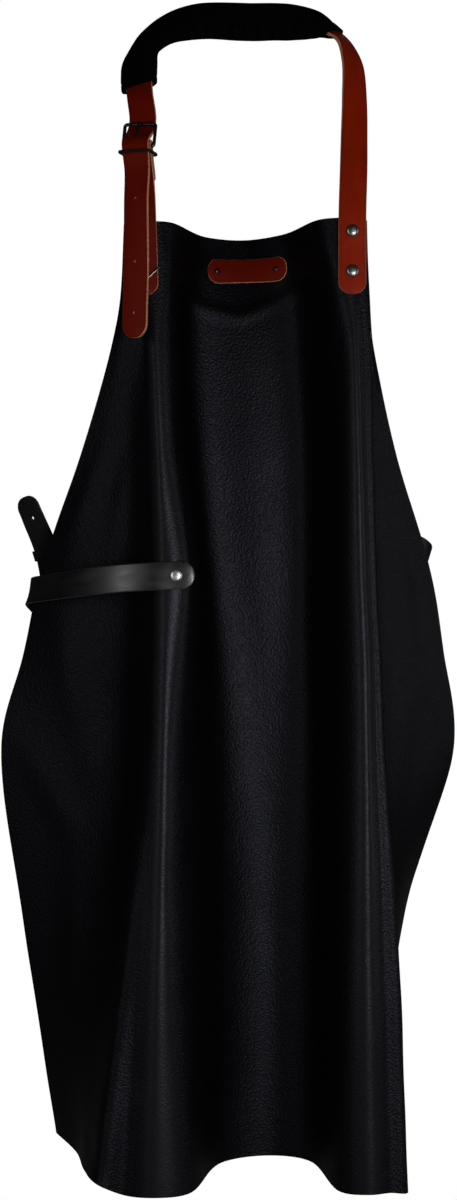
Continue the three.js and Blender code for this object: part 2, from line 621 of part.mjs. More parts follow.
const waistThrough = throughBuckle(waistMatrix);
const waistRight = routeOf([...WAIST_BACK, ...waistThrough, ...WAIST_TAIL]);
const waistDrills = WAIST_HOLES_Z.map((z) =>
  strapDrill(waistRight, shareAtHeight(waistRight, z, 0.9, 1), WAIST_HOLE_RADIUS));
const waistBack = strapGeometry(waistRight, { steps: 60, startRadius: 10, endRadius: 12 });
addMesh("waist_strap_right", cut(waistBack, [...waistDrills, waistRoom.prong]), BLACK_STRAP);

// Loops on the straps
const upper = chapeRoute.frame(shareAtHeight(chapeRoute, UPPER_KEEPER.z, 0, 0.7));
const upperTilt = new THREE.Matrix4().makeRotationY(UPPER_KEEPER_SEAT.tilt);
const upperPlace = loopMatrix(upper, UPPER_KEEPER_SEAT.out).multiply(upperTilt);
addMesh("keeper_upper", ringGeometry(UPPER_KEEPER), BLACK_STRAP, upperPlace);
const lower = chapeRoute.frame(shareAtHeight(chapeRoute, LOWER_KEEPER_Z, 0, 0.4));
addMesh("keeper_lower", stapleGeometry(lower), STEEL);
const waistLoop = waistRight.frame(shareAtHeight(waistRight, WAIST_KEEPER_Z, 0.85, 1));
addMesh("waist_keeper", ringGeometry(WAIST_KEEPER), BLACK_STRAP, loopMatrix(waistLoop, 0));

addMesh("apron_panel", cut(plainPanel.geometry, panelDrills), BLACK_LEATHER);

export default apron;
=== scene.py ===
# %% [markdown]
# # A leather apron, dressed in Blender
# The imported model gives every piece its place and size. This lesson gives each of them the look of the real
# thing: a black leather panel that hangs in folds, brown straps with pale cut edges, a padded sleeve at the
# nape, and small metal fittings. All tables are in millimetres, as a maker would write them down, and every
# mesh is scaled to metres once, when it is made.

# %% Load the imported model
import math
from collections import namedtuple

import bpy
import numpy as np
from mathutils import Matrix, Vector, noise
from mathutils.bvhtree import BVHTree


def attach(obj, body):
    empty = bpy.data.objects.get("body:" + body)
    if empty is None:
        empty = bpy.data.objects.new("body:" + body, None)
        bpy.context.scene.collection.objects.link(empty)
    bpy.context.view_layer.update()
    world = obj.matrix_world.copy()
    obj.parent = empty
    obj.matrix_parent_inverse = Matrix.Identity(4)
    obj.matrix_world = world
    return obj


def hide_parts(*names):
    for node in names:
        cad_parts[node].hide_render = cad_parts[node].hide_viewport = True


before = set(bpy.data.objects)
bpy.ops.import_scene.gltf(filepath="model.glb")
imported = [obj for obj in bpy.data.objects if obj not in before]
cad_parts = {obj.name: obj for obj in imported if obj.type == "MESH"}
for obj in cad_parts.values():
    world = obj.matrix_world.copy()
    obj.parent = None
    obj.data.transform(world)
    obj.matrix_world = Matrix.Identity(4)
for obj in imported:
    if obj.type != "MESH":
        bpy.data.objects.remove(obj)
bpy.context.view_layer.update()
MM = 0.001
scene = bpy.context.scene
print("solids loaded:", len(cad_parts))

# %% [markdown]
# ## Camera
# The photograph is 457 by 1200 and was taken level, straight from the front, from about a metre and a half. A
# 50 mm lens on a 36 mm sensor takes in 1.08 m at that distance, which is the apron from nape to hem.

# %% Camera
camera_data = bpy.data.cameras.new("camera")
camera_data.lens = 50
camera_data.sensor_width = 36
camera = bpy.data.objects.new("camera", camera_data)
camera.location = (-0.0205, -1.592, -0.552)
camera.rotation_euler = (math.pi / 2, 0, 0)
scene.collection.objects.link(camera)
scene.camera = camera
print("camera at", tuple(round(v, 3) for v in camera.location))

# %% [markdown]
# ## Colours and nodes
# Colours are read off as sRGB hex values, and shaders want linear light, so one function turns the first into
# the second. Another adds a node to a tree, with its settings and its links.

# %% Helpers for colours and nodes
def linear(hex_colour):
    parts = [int(hex_colour[i : i + 2], 16) / 255 for i in (1, 3, 5)]
    return (*[c / 12.92 if c <= 0.04045 else ((c + 0.055) / 1.055) ** 2.4 for c in parts], 1.0)


def add_node(tree, kind, inputs=None, **settings):
    node = tree.nodes.new(kind)
    for name, value in settings.items():
        setattr(node, name, value)
    for name, value in (inputs or {}).items():
        if isinstance(value, bpy.types.NodeSocket):
            tree.links.new(value, node.inputs[name])
        else:
            node.inputs[name].default_value = value
    return node


def new_material(name):
    material = bpy.data.materials.new(name)
    material.use_nodes = True
    material.node_tree.nodes.clear()
    return material, material.node_tree


def per_size(millimetres):
    return 1 / (millimetres * MM)


print("brown in linear light:", [round(v, 3) for v in linear("#7a2410")])

# %% [markdown]
# ## Parts of a material
# A material starts from a place on the piece. Noise of a given size makes it uneven, a mix turns the noise
# into two tones, a bump gives it relief, and one shader joins them. Each of these is a node with a short name
# here, so that a material below reads as a list. Sizes and depths are in millimetres. Noise stays mostly
# between 0.3 and 0.7, and that range is what gets rescaled.

# %% Helpers for materials
def object_place(tree):
    return add_node(tree, "ShaderNodeTexCoord").outputs["Object"]


def uneven(tree, place, size, detail=2.0):
    values = {"Vector": place, "Scale": per_size(size), "Detail": detail}
    return add_node(tree, "ShaderNodeTexNoise", values).outputs["Fac"]


def cells(tree, place, size):
    values = {"Vector": place, "Scale": per_size(size)}
    return add_node(tree, "ShaderNodeTexVoronoi", values, feature="SMOOTH_F1").outputs["Distance"]


def calculate(tree, operation, *values):
    return add_node(tree, "ShaderNodeMath", dict(enumerate(values)), operation=operation).outputs[0]


def rescale(tree, value, start, end, low, high):
    return add_node(tree, "ShaderNodeMapRange", {0: value, 1: start, 2: end, 3: low, 4: high}).outputs[0]


def mix_tones(tree, share, first, second):
    return add_node(tree, "ShaderNodeMix", {0: share, 6: first, 7: second}, data_type="RGBA").outputs[2]


def add_bump(tree, strength, depth, height):
    values = {"Strength": strength, "Distance": depth * MM, "Height": height}
    return add_node(tree, "ShaderNodeBump", values).outputs[0]


def add_skin(tree, inputs):
    skin = add_node(tree, "ShaderNodeBsdfPrincipled", inputs)
    add_node(tree, "ShaderNodeOutputMaterial", {"Surface": skin.outputs[0]})


NOISE_RANGE = (0.3, 0.7)
print("cells of 2 mm have the scale", per_size(2))

# %% [markdown]
# ## Floor and background
# The floor is pale and plain, and the background is white, as in the photograph. Only the camera sees them so
# bright. To the leather the floor is a dull grey and the room is nearly dark, so its folds stay deep.

# %% Floor and background
scene.view_settings.view_transform = "Standard"
FLOOR_Z = -1.32
floor_mesh = bpy.data.meshes.new("floor")
floor_corners = [(-12, -12, FLOOR_Z), (12, -12, FLOOR_Z), (12, 12, FLOOR_Z), (-12, 12, FLOOR_Z)]
floor_mesh.from_pydata(floor_corners, [], [(0, 1, 2, 3)])
floor = bpy.data.objects.new("floor", floor_mesh)
scene.collection.objects.link(floor)
floor_paint, tree = new_material("pale_floor")
lit = add_node(tree, "ShaderNodeEmission", {"Color": linear("#ffffff"), "Strength": 1.0})
paint = add_node(tree, "ShaderNodeBsdfDiffuse", {"Color": linear("#8c8c8c")})
rays = add_node(tree, "ShaderNodeLightPath")
seen = rays.outputs["Is Camera Ray"]
blend = add_node(tree, "ShaderNodeMixShader", {0: seen, 1: paint.outputs[0], 2: lit.outputs[0]})
add_node(tree, "ShaderNodeOutputMaterial", {"Surface": blend.outputs[0]})
floor_mesh.materials.append(floor_paint)

world = bpy.data.worlds.new("studio")
scene.world = world
world.use_nodes = True
tree = world.node_tree
tree.nodes.clear()
rays = add_node(tree, "ShaderNodeLightPath")
seen = rays.outputs["Is Camera Ray"]
white = add_node(tree, "ShaderNodeBackground", {"Color": linear("#ffffff"), "Strength": 1.0})
room = add_node(tree, "ShaderNodeBackground", {"Color": linear("#ffffff"), "Strength": 0.02})
sky = add_node(tree, "ShaderNodeMixShader", {0: seen, 1: room.outputs[0], 2: white.outputs[0]})
add_node(tree, "ShaderNodeOutputWorld", {"Surface": sky.outputs[0]})
print("floor at", FLOOR_Z)

# %% [markdown]
# ## Lights
# A soft box beside the camera lights the leather from the front, so only the folds that face the viewer
# shine. Tall soft boxes at the sides draw the flaps, and one behind and one above let the back be seen.

# %% Lights
Light = namedtuple("Light", "name place aim width height watts")
LIGHTS = [
    Light("front_box", (0.55, -1.8, -0.75), (0, 0, -0.75), 0.6, 0.85, 15),
    Light("left_box", (-1.6, -1.55, -0.5), (0, 0, -0.6), 0.4, 1.6, 6.2),
    Light("right_box", (2.15, -0.55, -0.5), (0, 0, -0.6), 0.5, 1.6, 6),
    Light("back_box", (0.4, 2.4, 0.3), (0, 0, -0.6), 1.2, 1.6, 12),
    Light("top_box", (0, 1.5, 1.4), (0, 0, -0.5), 1.0, 1.0, 2),
]
for light in LIGHTS:
    data = bpy.data.lights.new(light.name, "AREA")
    data.shape = "RECTANGLE"
    data.size = light.width
    data.size_y = light.height
    data.energy = light.watts
    lamp = bpy.data.objects.new(light.name, data)
    lamp.location = light.place
    lamp.rotation_euler = (Vector(light.aim) - Vector(light.place)).to_track_quat("-Z", "Y").to_euler()
    scene.collection.objects.link(lamp)
print("lights:", [light.name for light in LIGHTS])

# %% [markdown]
# ## Panel leather
# The panel is chrome tanned cowhide, dyed black through and finished with a thin satin coat over a fine
# pebbled grain. It gives the eye a dull sheen where it faces the light and hardly any colour. Grain cells of
# about a millimetre are too fine for the picture, so they are drawn twice as coarse, with a softer unevenness
# under them. Where a ridge is foremost, use has worn its grain down and rubbed it smoother, and a painted
# highlight makes its colour a little paler there. A point attribute of the mesh says where that is.

# %% Satin black cowhide, its flesh side and its cut edge
GRAIN_STRENGTH = 0.75
RUBBED_FLATTER = 0.5
RUBBED_SMOOTHER = 0.08
panel_leather, tree = new_material("satin_black_cowhide")
place = object_place(tree)
pebbles = cells(tree, place, 1.9)
hide = uneven(tree, place, 45, 4.0)
fine = uneven(tree, place, 2.2, 3.0)
tone = mix_tones(tree, hide, linear("#020203"), linear("#050507"))
rubbed = add_node(tree, "ShaderNodeAttribute", attribute_name="rubbed").outputs["Fac"]
# painted highlight: the foremost ridges are mixed towards a paler grey
painted_ridge_highlight = mix_tones(tree, rubbed, tone, linear("#18181a"))
satin = rescale(tree, fine, *NOISE_RANGE, 0.4, 0.52)
gloss = calculate(tree, "MULTIPLY_ADD", rubbed, -RUBBED_SMOOTHER, satin)
relief = calculate(tree, "ADD", pebbles, fine)
strength = calculate(tree, "MULTIPLY_ADD", rubbed, -RUBBED_FLATTER, GRAIN_STRENGTH)
bump = add_bump(tree, strength, 0.5, relief)
add_skin(tree, {
    "Base Color": painted_ridge_highlight, "Roughness": gloss, "Specular IOR Level": 0.16,
    "Specular Tint": linear("#e6e8ff"), "Normal": bump,
})

panel_flesh, tree = new_material("black_flesh_side")
nap = uneven(tree, object_place(tree), 2, 6.0)
tone = mix_tones(tree, nap, linear("#111112"), linear("#242425"))
bump = add_bump(tree, 0.5, 0.4, nap)
add_skin(tree, {"Base Color": tone, "Roughness": 0.9, "Specular IOR Level": 0.15, "Normal": bump})

panel_edge, tree = new_material("black_cut_edge")
fibre = uneven(tree, object_place(tree), 1.5, 4.0)
tone = mix_tones(tree, fibre, linear("#0b0b0c"), linear("#1d1d1f"))
add_skin(tree, {"Base Color": tone, "Roughness": 0.7, "Specular IOR Level": 0.2})
print("panel materials:", panel_leather.name, panel_flesh.name, panel_edge.name)

# %% [markdown]
# ## Strap leathers
# The neck strap and the label patch are vegetable tanned leather in a red brown: smooth, with a close grain
# that a thumb can feel more than the eye can see, and darker towards the edges, where the dye and years of
# handling gather. Its cut edges keep the pale colour of the core. The waist strap is the same kind of leather
# in black, with more polish. The straps carry a UV map in metres, along the strap and across it, so a
# painted shade can darken a strap from a given distance on: the neck strap past the nape, and all of the
# short strap and the patch. Nine metres is past the end of any strap here.

# %% Brown and black strap leather
BROWN_FACE = {"dark": "#7a1803", "light": "#9a2606", "roughness": 0.5, "specular": 0.07}
BLACK_FACE = {"dark": "#050506", "light": "#0a0a0b", "roughness": 0.34, "specular": 0.85}
PAINTED_SHADE_TONE = "#4d0501"
SHADE_BLEND = 0.1
NEVER_SHADED = 9
EDGE_DARKENS = (0.009, 0.0125)


def strap_leather(name, shaded_from, dark, light, roughness, specular):
    material, tree = new_material(name)
    on_strap = add_node(tree, "ShaderNodeUVMap", uv_map="strap").outputs[0]
    along, across, _ = add_node(tree, "ShaderNodeSeparateXYZ", {0: on_strap}).outputs
    drawn = add_node(tree, "ShaderNodeMapping", {"Vector": on_strap, "Scale": (0.25, 1.0, 1.0)})
    streaks = uneven(tree, drawn.outputs[0], 9)
    pores = cells(tree, object_place(tree), 0.9)
    edge = rescale(tree, calculate(tree, "ABSOLUTE", across), *EDGE_DARKENS, 0.0, 0.6)
    face = mix_tones(tree, streaks, linear(dark), linear(light))
    worn = mix_tones(tree, edge, face, linear(dark))
    # painted shade: past the given distance along the strap, its colour is mixed towards a darker red brown
    painted_shade = rescale(tree, along, shaded_from, shaded_from + SHADE_BLEND, 0.0, 0.7)
    tone = mix_tones(tree, painted_shade, worn, linear(PAINTED_SHADE_TONE))
    gloss = rescale(tree, streaks, *NOISE_RANGE, roughness - 0.06, roughness + 0.06)
    bump = add_bump(tree, 0.15, 0.2, pores)
    add_skin(tree, {"Base Color": tone, "Roughness": gloss, "Specular IOR Level": specular, "Normal": bump})
    return material


def raw_leather(name, dark, light, grain):
    material, tree = new_material(name)
    fibre = uneven(tree, object_place(tree), grain, 5.0)
    tone = mix_tones(tree, fibre, linear(dark), linear(light))
    bump = add_bump(tree, 0.4, 0.3, fibre)
    add_skin(tree, {"Base Color": tone, "Roughness": 0.8, "Specular IOR Level": 0.2, "Normal": bump})
    return material


# painted shade: the first leather darkens from 0.32 m along, past the nape; the second is darker all along,
# for the short strap and the label patch
brown_leather = strap_leather("red_brown_strap_leather", shaded_from=0.32, **BROWN_FACE)
shaded_brown_leather = strap_leather("handled_red_brown_leather", shaded_from=-0.2, **BROWN_FACE)
brown_edge = raw_leather("pale_cut_edge", "#a5694c", "#c08a68", 1.5)
brown_flesh = raw_leather("brown_flesh_side", "#5a2a18", "#7a4027", 2.0)
black_leather = strap_leather("polished_black_strap_leather", shaded_from=NEVER_SHADED, **BLACK_FACE)
black_edge = raw_leather("black_strap_edge", "#242425", "#4a4a4c", 1.5)
black_flesh = raw_leather("black_strap_flesh_side", "#070708", "#101011", 2.0)
black_loop = raw_leather("black_loop_leather", "#050506", "#0e0e0f", 1.5)
print("strap materials:", brown_leather.name, black_leather.name)

# %% [markdown]
# ## Pad cloth and metals
# The sleeve at the nape is a matt black knitted cloth over foam. Two waves that cross make the knit, and a
# wave texture turns by 20 radians for each unit of its scale. The buckles and the patch's rivets have a dark
# nickel plate, the rivets on the neck strap and the wire staple are brushed nickel that shows its
# surroundings, and the rivet on the waist strap is bright steel. Plated metal has fine wear, which shows as
# uneven roughness.

# %% Knitted cloth and plated metals
WAVE_RATE = 20


def wave(tree, place, size, way):
    values = {"Vector": place, "Scale": per_size(size) / WAVE_RATE}
    return add_node(tree, "ShaderNodeTexWave", values, bands_direction=way).outputs["Fac"]


pad_cloth, tree = new_material("black_knitted_cloth")
on_pad = add_node(tree, "ShaderNodeUVMap", uv_map="pad").outputs[0]
knit = calculate(tree, "MULTIPLY", wave(tree, on_pad, 1.6, "Y"), wave(tree, on_pad, 2.0, "X"))
tone = mix_tones(tree, knit, linear("#020202"), linear("#060606"))
bump = add_bump(tree, 0.5, 0.4, knit)
add_skin(tree, {"Base Color": tone, "Roughness": 1.0, "Specular IOR Level": 0.05, "Normal": bump})


def plated_metal(name, colour, roughness):
    material, tree = new_material(name)
    wear = uneven(tree, object_place(tree), 3, 5.0)
    gloss = rescale(tree, wear, *NOISE_RANGE, roughness - 0.07, roughness + 0.1)
    add_skin(tree, {"Base Color": linear(colour), "Metallic": 1.0, "Roughness": gloss})
    return material


dark_nickel = plated_metal("dark_nickel_plate", "#4a4a4e", 0.32)
rivet_nickel = plated_metal("brushed_nickel_plate", "#8f928c", 0.3)
bright_steel = plated_metal("polished_steel", "#e2e3e0", 0.36)
print("metals:", dark_nickel.name, rivet_nickel.name, bright_steel.name)

# %% [markdown]
# ## Smooth curves
# Folds and straps are given by a few points each. A centripetal Catmull-Rom curve goes through all of them
# without loops or cusps, and it is the curve that the solids were drawn with, so the dressed pieces lie on
# them. Blender's own curves take a tilt for each point and not a direction, so the straps are swept with
# numpy.

# %% Smooth curves through points
def spline(points, shares):
    points = np.asarray(points, float)
    held = np.array([2 * points[0] - points[1], *points, 2 * points[-1] - points[-2]])
    place = np.clip(shares, 0, 1) * (len(points) - 1)
    first = np.minimum(place.astype(int), len(points) - 2)
    part = (place - first)[:, None]
    p0, p1, p2, p3 = (held[first + i] for i in range(4))
    d0, d1, d2 = (np.sqrt(np.linalg.norm(b - a, axis=1))[:, None] for a, b in ((p0, p1), (p1, p2), (p2, p3)))
    d1 = np.where(d1 < 1e-4, 1, d1)
    d0 = np.where(d0 < 1e-4, d1, d0)
    d2 = np.where(d2 < 1e-4, d1, d2)
    leave = ((p1 - p0) / d0 - (p2 - p0) / (d0 + d1) + (p2 - p1) / d1) * d1
    arrive = ((p2 - p1) / d1 - (p3 - p1) / (d1 + d2) + (p3 - p2) / d2) * d1
    bend = 3 * (p2 - p1) - 2 * leave - arrive
    return p1 + leave * part + bend * part**2 + (2 * (p1 - p2) + leave + arrive) * part**3


def new_piece(name, corners, faces, materials, face_materials=None):
    mesh = bpy.data.meshes.new(name)
    mesh.from_pydata([tuple(c) for c in np.asarray(corners) * MM], [], [tuple(f) for f in faces])
    for material in materials:
        mesh.materials.append(material)
    if face_materials is not None:
        mesh.polygons.foreach_set("material_index", face_materials)
    mesh.polygons.foreach_set("use_smooth", [True] * len(mesh.polygons))
    mesh.set_sharp_from_angle(angle=math.radians(50))
    piece = bpy.data.objects.new(name, mesh)
    scene.collection.objects.link(piece)
    return piece


print("a curve through 3 points:", spline([(0, 0, 0), (1, 1, 0), (2, 0, 0)], np.array([0.25]))[0].round(3))

# %% [markdown]
# ## The folds of the panel
# The panel is one cut sheet that hangs from two corners of its bib. Its weight gathers it into two ridges
# with a deep valley between them, and the flaps swing back at both sides. Each row of the table is one fold
# from the top edge to the hem: where it is across the apron and how far it lies behind the foremost plane. A
# cloth simulation would fold it too, but not into these folds, so the sheet is lofted through the table.

# %% Table of folds
FRONT_Y = -92
PANEL_THICK = 1.8
LEVEL_Z = {"bib": -320, "chest": -415, "waist": -529, "belly": -603, "hip": -690, "thigh": -862, "hem": -1090}
LEVEL_ROWS = [28, 14, 21, 28, 21, 21, 28, 28]
COLUMNS = 3
Fold = namedtuple("Fold", "name columns top yoke lift x back")
FOLDS = [
    Fold("left edge", 2, -212, -281, 14,
         (-115, -119, -127, -157, -199, -216, -239, -220, -189), (9, 20, 26, 50, 84, 93, 106, 122, 140)),
    Fold("left flap", 3, -211, -278, 8,
         (-111, -114, -119, -139, -168, -178, -186, -181, -167), (7, 14, 20, 40, 62, 70, 84, 100, 104)),
    Fold("left flap root", 3, -210, -275, 10,
         (-107, -107, -107, -110, -115, -118, -120, -134, -154), (6, 9, 14, 26, 36, 43, 52, 58, 45)),
    Fold("left shoulder", 2, -210, -273, 9,
         (-101, -100, -97, -97, -94, -95, -97, -112.5, -138), (5, 7, 9, 13, 14, 15, 15, 12, 6)),
    Fold("left groove", 2, -210, -272, -2,
         (-96, -93, -91.5, -89, -85.5, -86, -88, -98, -114.5), (5, 5, 4, 4, 4.5, 4.5, 4.5, 7, 12)),
    Fold("left ridge", 2, -210, -271, 0,
         (-90, -86, -85.5, -81.5, -76, -76, -78, -82, -87.5), (5, 5, 2, 0, 0, 0, 0, 0, 0)),
    Fold("left wall", 4, -209.5, -256, 0,
         (-74, -74.5, -74, -69.5, -58, -61, -65.5, -67, -58), (12, 10, 10, 9, 5, 8, 9.5, 9.5, 10)),
    Fold("valley left foot", 4, -209.5, -272, 5,
         (-42, -56, -57, -50, -39, -33, -29, -25, -27), (74, 67, 66.5, 68, 71, 72, 73, 76, 80)),
    Fold("valley", 4, -208.7, -285, 6,
         (-6, -3, 0, 4, 9, 13, 17, 21, 21), (93, 77, 75.5, 75, 78.5, 82, 86, 93, 97)),
    Fold("valley right foot", 4, -207, -270, 6,
         (31, 42, 46, 51, 52, 53, 55, 57, 57), (74, 67, 68, 70, 74, 75, 76, 78, 81)),
    Fold("right wall", 2, -207, -255, 0,
         (64, 73, 78, 81, 82, 84, 85, 85, 82), (10, 9, 13, 13, 13, 13, 13, 12, 15)),
    Fold("right ridge", 2, -207, -272, 2,
         (89, 91, 93, 96, 99, 102, 103.5, 104.5, 107), (4, 4, 1, 0, 0, 0, 0, 0, 2)),
    Fold("beside the ridge", 2, -207, -273, 1,
         (95, 98, 101, 103.5, 107.5, 110.5, 112.5, 119, 127), (4.5, 6.5, 6.5, 6, 6.3, 6.6, 6.6, 7.5, 10)),
    Fold("right rim", 1, -208, -274, 0,
         (101, 104, 107, 108.5, 112, 115.5, 119, 131, 139.5), (5, 8, 7.3, 6.4, 6.7, 7, 7.1, 8.5, 10.8)),
    Fold("rim turn", 2, -208, -274, 0,
         (102, 105, 108.5, 110, 113.5, 117, 120.5, 133, 142), (6, 9.5, 10.8, 9.9, 10.2, 10.5, 10.6, 12, 14)),
    Fold("behind the rim", 2, -208, -275, 0,
         (103, 106, 108.5, 107, 109, 111.5, 115, 129, 137), (7, 12, 21, 36, 47, 50, 53, 57, 46)),
    Fold("right flap", 2, -209, -277, 0,
         (104, 107, 111, 124, 145, 154, 163, 143, 132), (9, 14, 26, 52, 80, 88, 98, 105, 95)),
    Fold("right edge", 0, -210, -279, 0,
         (104, 106, 112, 136, 174, 187, 199, 152, 126), (11, 17, 30, 60, 98, 110, 124, 143, 140)),
]
print("folds:", len(FOLDS), "levels:", 2 + len(LEVEL_Z))

# %% [markdown]
# ## Small folds
# Between the main folds the leather is never quite flat. A soft crease hangs below the neckline from ridge
# to ridge, the flaps carry a few shallow folds that run down and out from the bib, the hem has short creases,
# and the whole hide waves a little. Each small fold is a soft ridge along a path, seen from the front, and
# the waves are a slow noise, the same on each run.

# %% Small folds and waves
SmallFold = namedtuple("SmallFold", "name path half_width height")
COLLAR_PATH = [(-80, -233), (-65, -260), (-47, -277), (-10, -285), (37, -267), (56, -248), (67, -229)]
SMALL_FOLDS = [
    SmallFold("collar crease", COLLAR_PATH, 7, 1.8),
    SmallFold("flap fold above the strap", [(-128, -400), (-176, -512)], 11, 2.2),
    SmallFold("flap fold near the ridge", [(-112, -420), (-128, -512)], 9, 1.6),
    SmallFold("flap fold below the strap", [(-176, -575), (-150, -720)], 14, 2.4),
    SmallFold("flap fold at the hip", [(-214, -690), (-160, -790)], 13, 2.2),
    SmallFold("long flap fold", [(-165, -800), (-178, -1040)], 12, 2.4),
    SmallFold("hem crease", [(-150, -1035), (-138, -1085)], 6, -1.4),
    SmallFold("second hem crease", [(-136, -1050), (-128, -1086)], 5, -1.0),
    SmallFold("right flap fold", [(136, -470), (153, -620)], 10, 1.8),
    SmallFold("right hip fold", [(170, -640), (146, -790)], 9, -1.6),
]
WAVE = {"size": 55, "height": 0.7}
FOLD_END = 0.08


def nearest_on_path(flat, path):
    legs = np.diff(path, axis=0)
    reached = np.append(0, np.cumsum(np.linalg.norm(legs, axis=1)))
    reached /= reached[-1]
    share = np.zeros(flat.shape[:-1])
    away = np.full(flat.shape[:-1], np.inf)
    for i, leg in enumerate(legs):
        part = np.clip((flat - path[i]) @ leg / (leg @ leg), 0, 1)
        distance = np.linalg.norm(flat - path[i] - part[..., None] * leg, axis=-1)
        share = np.where(distance < away, reached[i] + part * (reached[i + 1] - reached[i]), share)
        away = np.minimum(away, distance)
    return share, away


def small_relief(points):
    flat = points[..., [0, 2]]
    height = np.zeros(flat.shape[:-1])
    for fold in SMALL_FOLDS:
        share, away = nearest_on_path(flat, np.array(fold.path, float))
        taper = np.sin(np.pi * (FOLD_END + (1 - 2 * FOLD_END) * share))
        height += fold.height * taper * np.exp(-((away / fold.half_width) ** 2))
    waves = [noise.noise(Vector(p) / WAVE["size"]) for p in points.reshape(-1, 3)]
    return height + WAVE["height"] * np.array(waves).reshape(height.shape)


print("small folds:", len(SMALL_FOLDS))

# %% [markdown]
# ## The panel
# The sheet is built as it is cut: a face of grain, a flesh side behind it and a thin edge all round, each
# with its own finish. Building the three together keeps the mesh closed, with no modifier left to go wrong.

# %% Panel mesh
def even_shares(counts):
    spans = [(i + np.arange(count) / count) / len(counts) for i, count in enumerate(counts)]
    return np.append(np.concatenate(spans), 1.0)


def panel_grid():
    down = even_shares(LEVEL_ROWS)
    across = even_shares([fold.columns * COLUMNS for fold in FOLDS[:-1]])
    lines = []
    for fold in FOLDS:
        heights = [fold.top, fold.yoke, *LEVEL_Z.values()]
        heights[-1] += fold.lift
        lines.append(spline(np.column_stack([fold.x, FRONT_Y + np.array(fold.back), heights]), down))
    lines = np.array(lines)
    return np.array([spline(lines[:, row], across) for row in range(len(down))])


def grid_normals(grid):
    normal = np.cross(np.gradient(grid, axis=1), -np.gradient(grid, axis=0))
    return normal / np.linalg.norm(normal, axis=-1, keepdims=True)


def panel_piece(grid):
    rows, columns = grid.shape[:2]
    offset = grid_normals(grid) * PANEL_THICK / 2
    corners = np.concatenate([(grid + offset).reshape(-1, 3), (grid - offset).reshape(-1, 3)])
    index = np.arange(rows * columns).reshape(rows, columns)
    behind = rows * columns
    quads = np.stack([index[1:, :-1], index[1:, 1:], index[:-1, 1:], index[:-1, :-1]], axis=-1).reshape(-1, 4)
    rim = np.concatenate([index[-1, :-1], index[:0:-1, -1], index[0, :0:-1], index[:-1, 0]])
    after = np.roll(rim, -1)
    edge = np.stack([after, rim, rim + behind, after + behind], axis=-1)
    faces = np.concatenate([quads, quads[:, ::-1] + behind, edge])
    kinds = np.repeat([0, 1, 2], [len(quads), len(quads), len(edge)])
    finishes = [panel_leather, panel_flesh, panel_edge]
    return new_piece("leather_panel", corners, faces.tolist(), finishes, kinds)


WEAR_AND_HIGHLIGHT_DEPTH = 8
main_folds = panel_grid()
panel_points = main_folds + grid_normals(main_folds) * small_relief(main_folds)[..., None]
panel = panel_piece(panel_points)
# The attribute marks the foremost ridges, where the material makes the grain smoother and flatter and paints
# a highlight.
wear_and_highlight_map = panel.data.attributes.new("rubbed", "FLOAT", "POINT")
behind = np.clip((main_folds[..., 1].ravel() - FRONT_Y) / WEAR_AND_HIGHLIGHT_DEPTH, 0, 1)
wear_and_highlight_map.data.foreach_set("value", np.tile(1 - behind, 2))
print("panel corners:", len(panel.data.vertices))

# %% [markdown]
# ## Routes of the straps
# A strap is a flat ribbon, and what gives it life is how it turns. So its route holds a direction across the
# strap for each point of its middle line, and the face of the strap looks along what is left.

# %% Routes
STRAP_WIDTH = 25
STRAP_THICK = 3.2
GAP = 0.4
Row = namedtuple("Row", "at across")


class Route:
    def __init__(self, rows):
        self.middle = np.array([row.at for row in rows], float)
        self.sides = np.array([row.across for row in rows], float)
        self.even = np.linspace(0, 1, 4001)
        steps = np.linalg.norm(np.diff(spline(self.middle, self.even), axis=0), axis=1)
        self.distance = np.append(0, np.cumsum(steps))
        self.length = self.distance[-1]

    def frames(self, shares):
        t = np.interp(np.asarray(shares, float) * self.length, self.distance, self.even)
        at = spline(self.middle, t)
        along = spline(self.middle, t + 1e-4) - spline(self.middle, t - 1e-4)
        along /= np.linalg.norm(along, axis=1, keepdims=True)
        across = spline(self.sides, t)
        across -= along * np.sum(across * along, axis=1, keepdims=True)
        across /= np.linalg.norm(across, axis=1, keepdims=True)
        return at, along, across, np.cross(along, across)

    def share_at_height(self, z, start, end):
        shares = np.linspace(start, end, 4000)
        return shares[np.argmin(np.abs(self.frames(shares)[0][:, 2] - z))]


print("a route of 50 mm:", Route([Row((0, 0, 0), (1, 0, 0)), Row((0, 0, 50), (1, 0, 0))]).length.round(3))

# %% [markdown]
# ## Tables of the straps
# The neck strap rises from its rivets at the right, bends over the nape and comes down at the left, where its
# tail hangs from the buckle. The short strap holds that buckle. The waist strap has a short part on the left
# front and a long one round the back. The two buckles have a place of their own, and the straps that meet
# them take the points there from it.

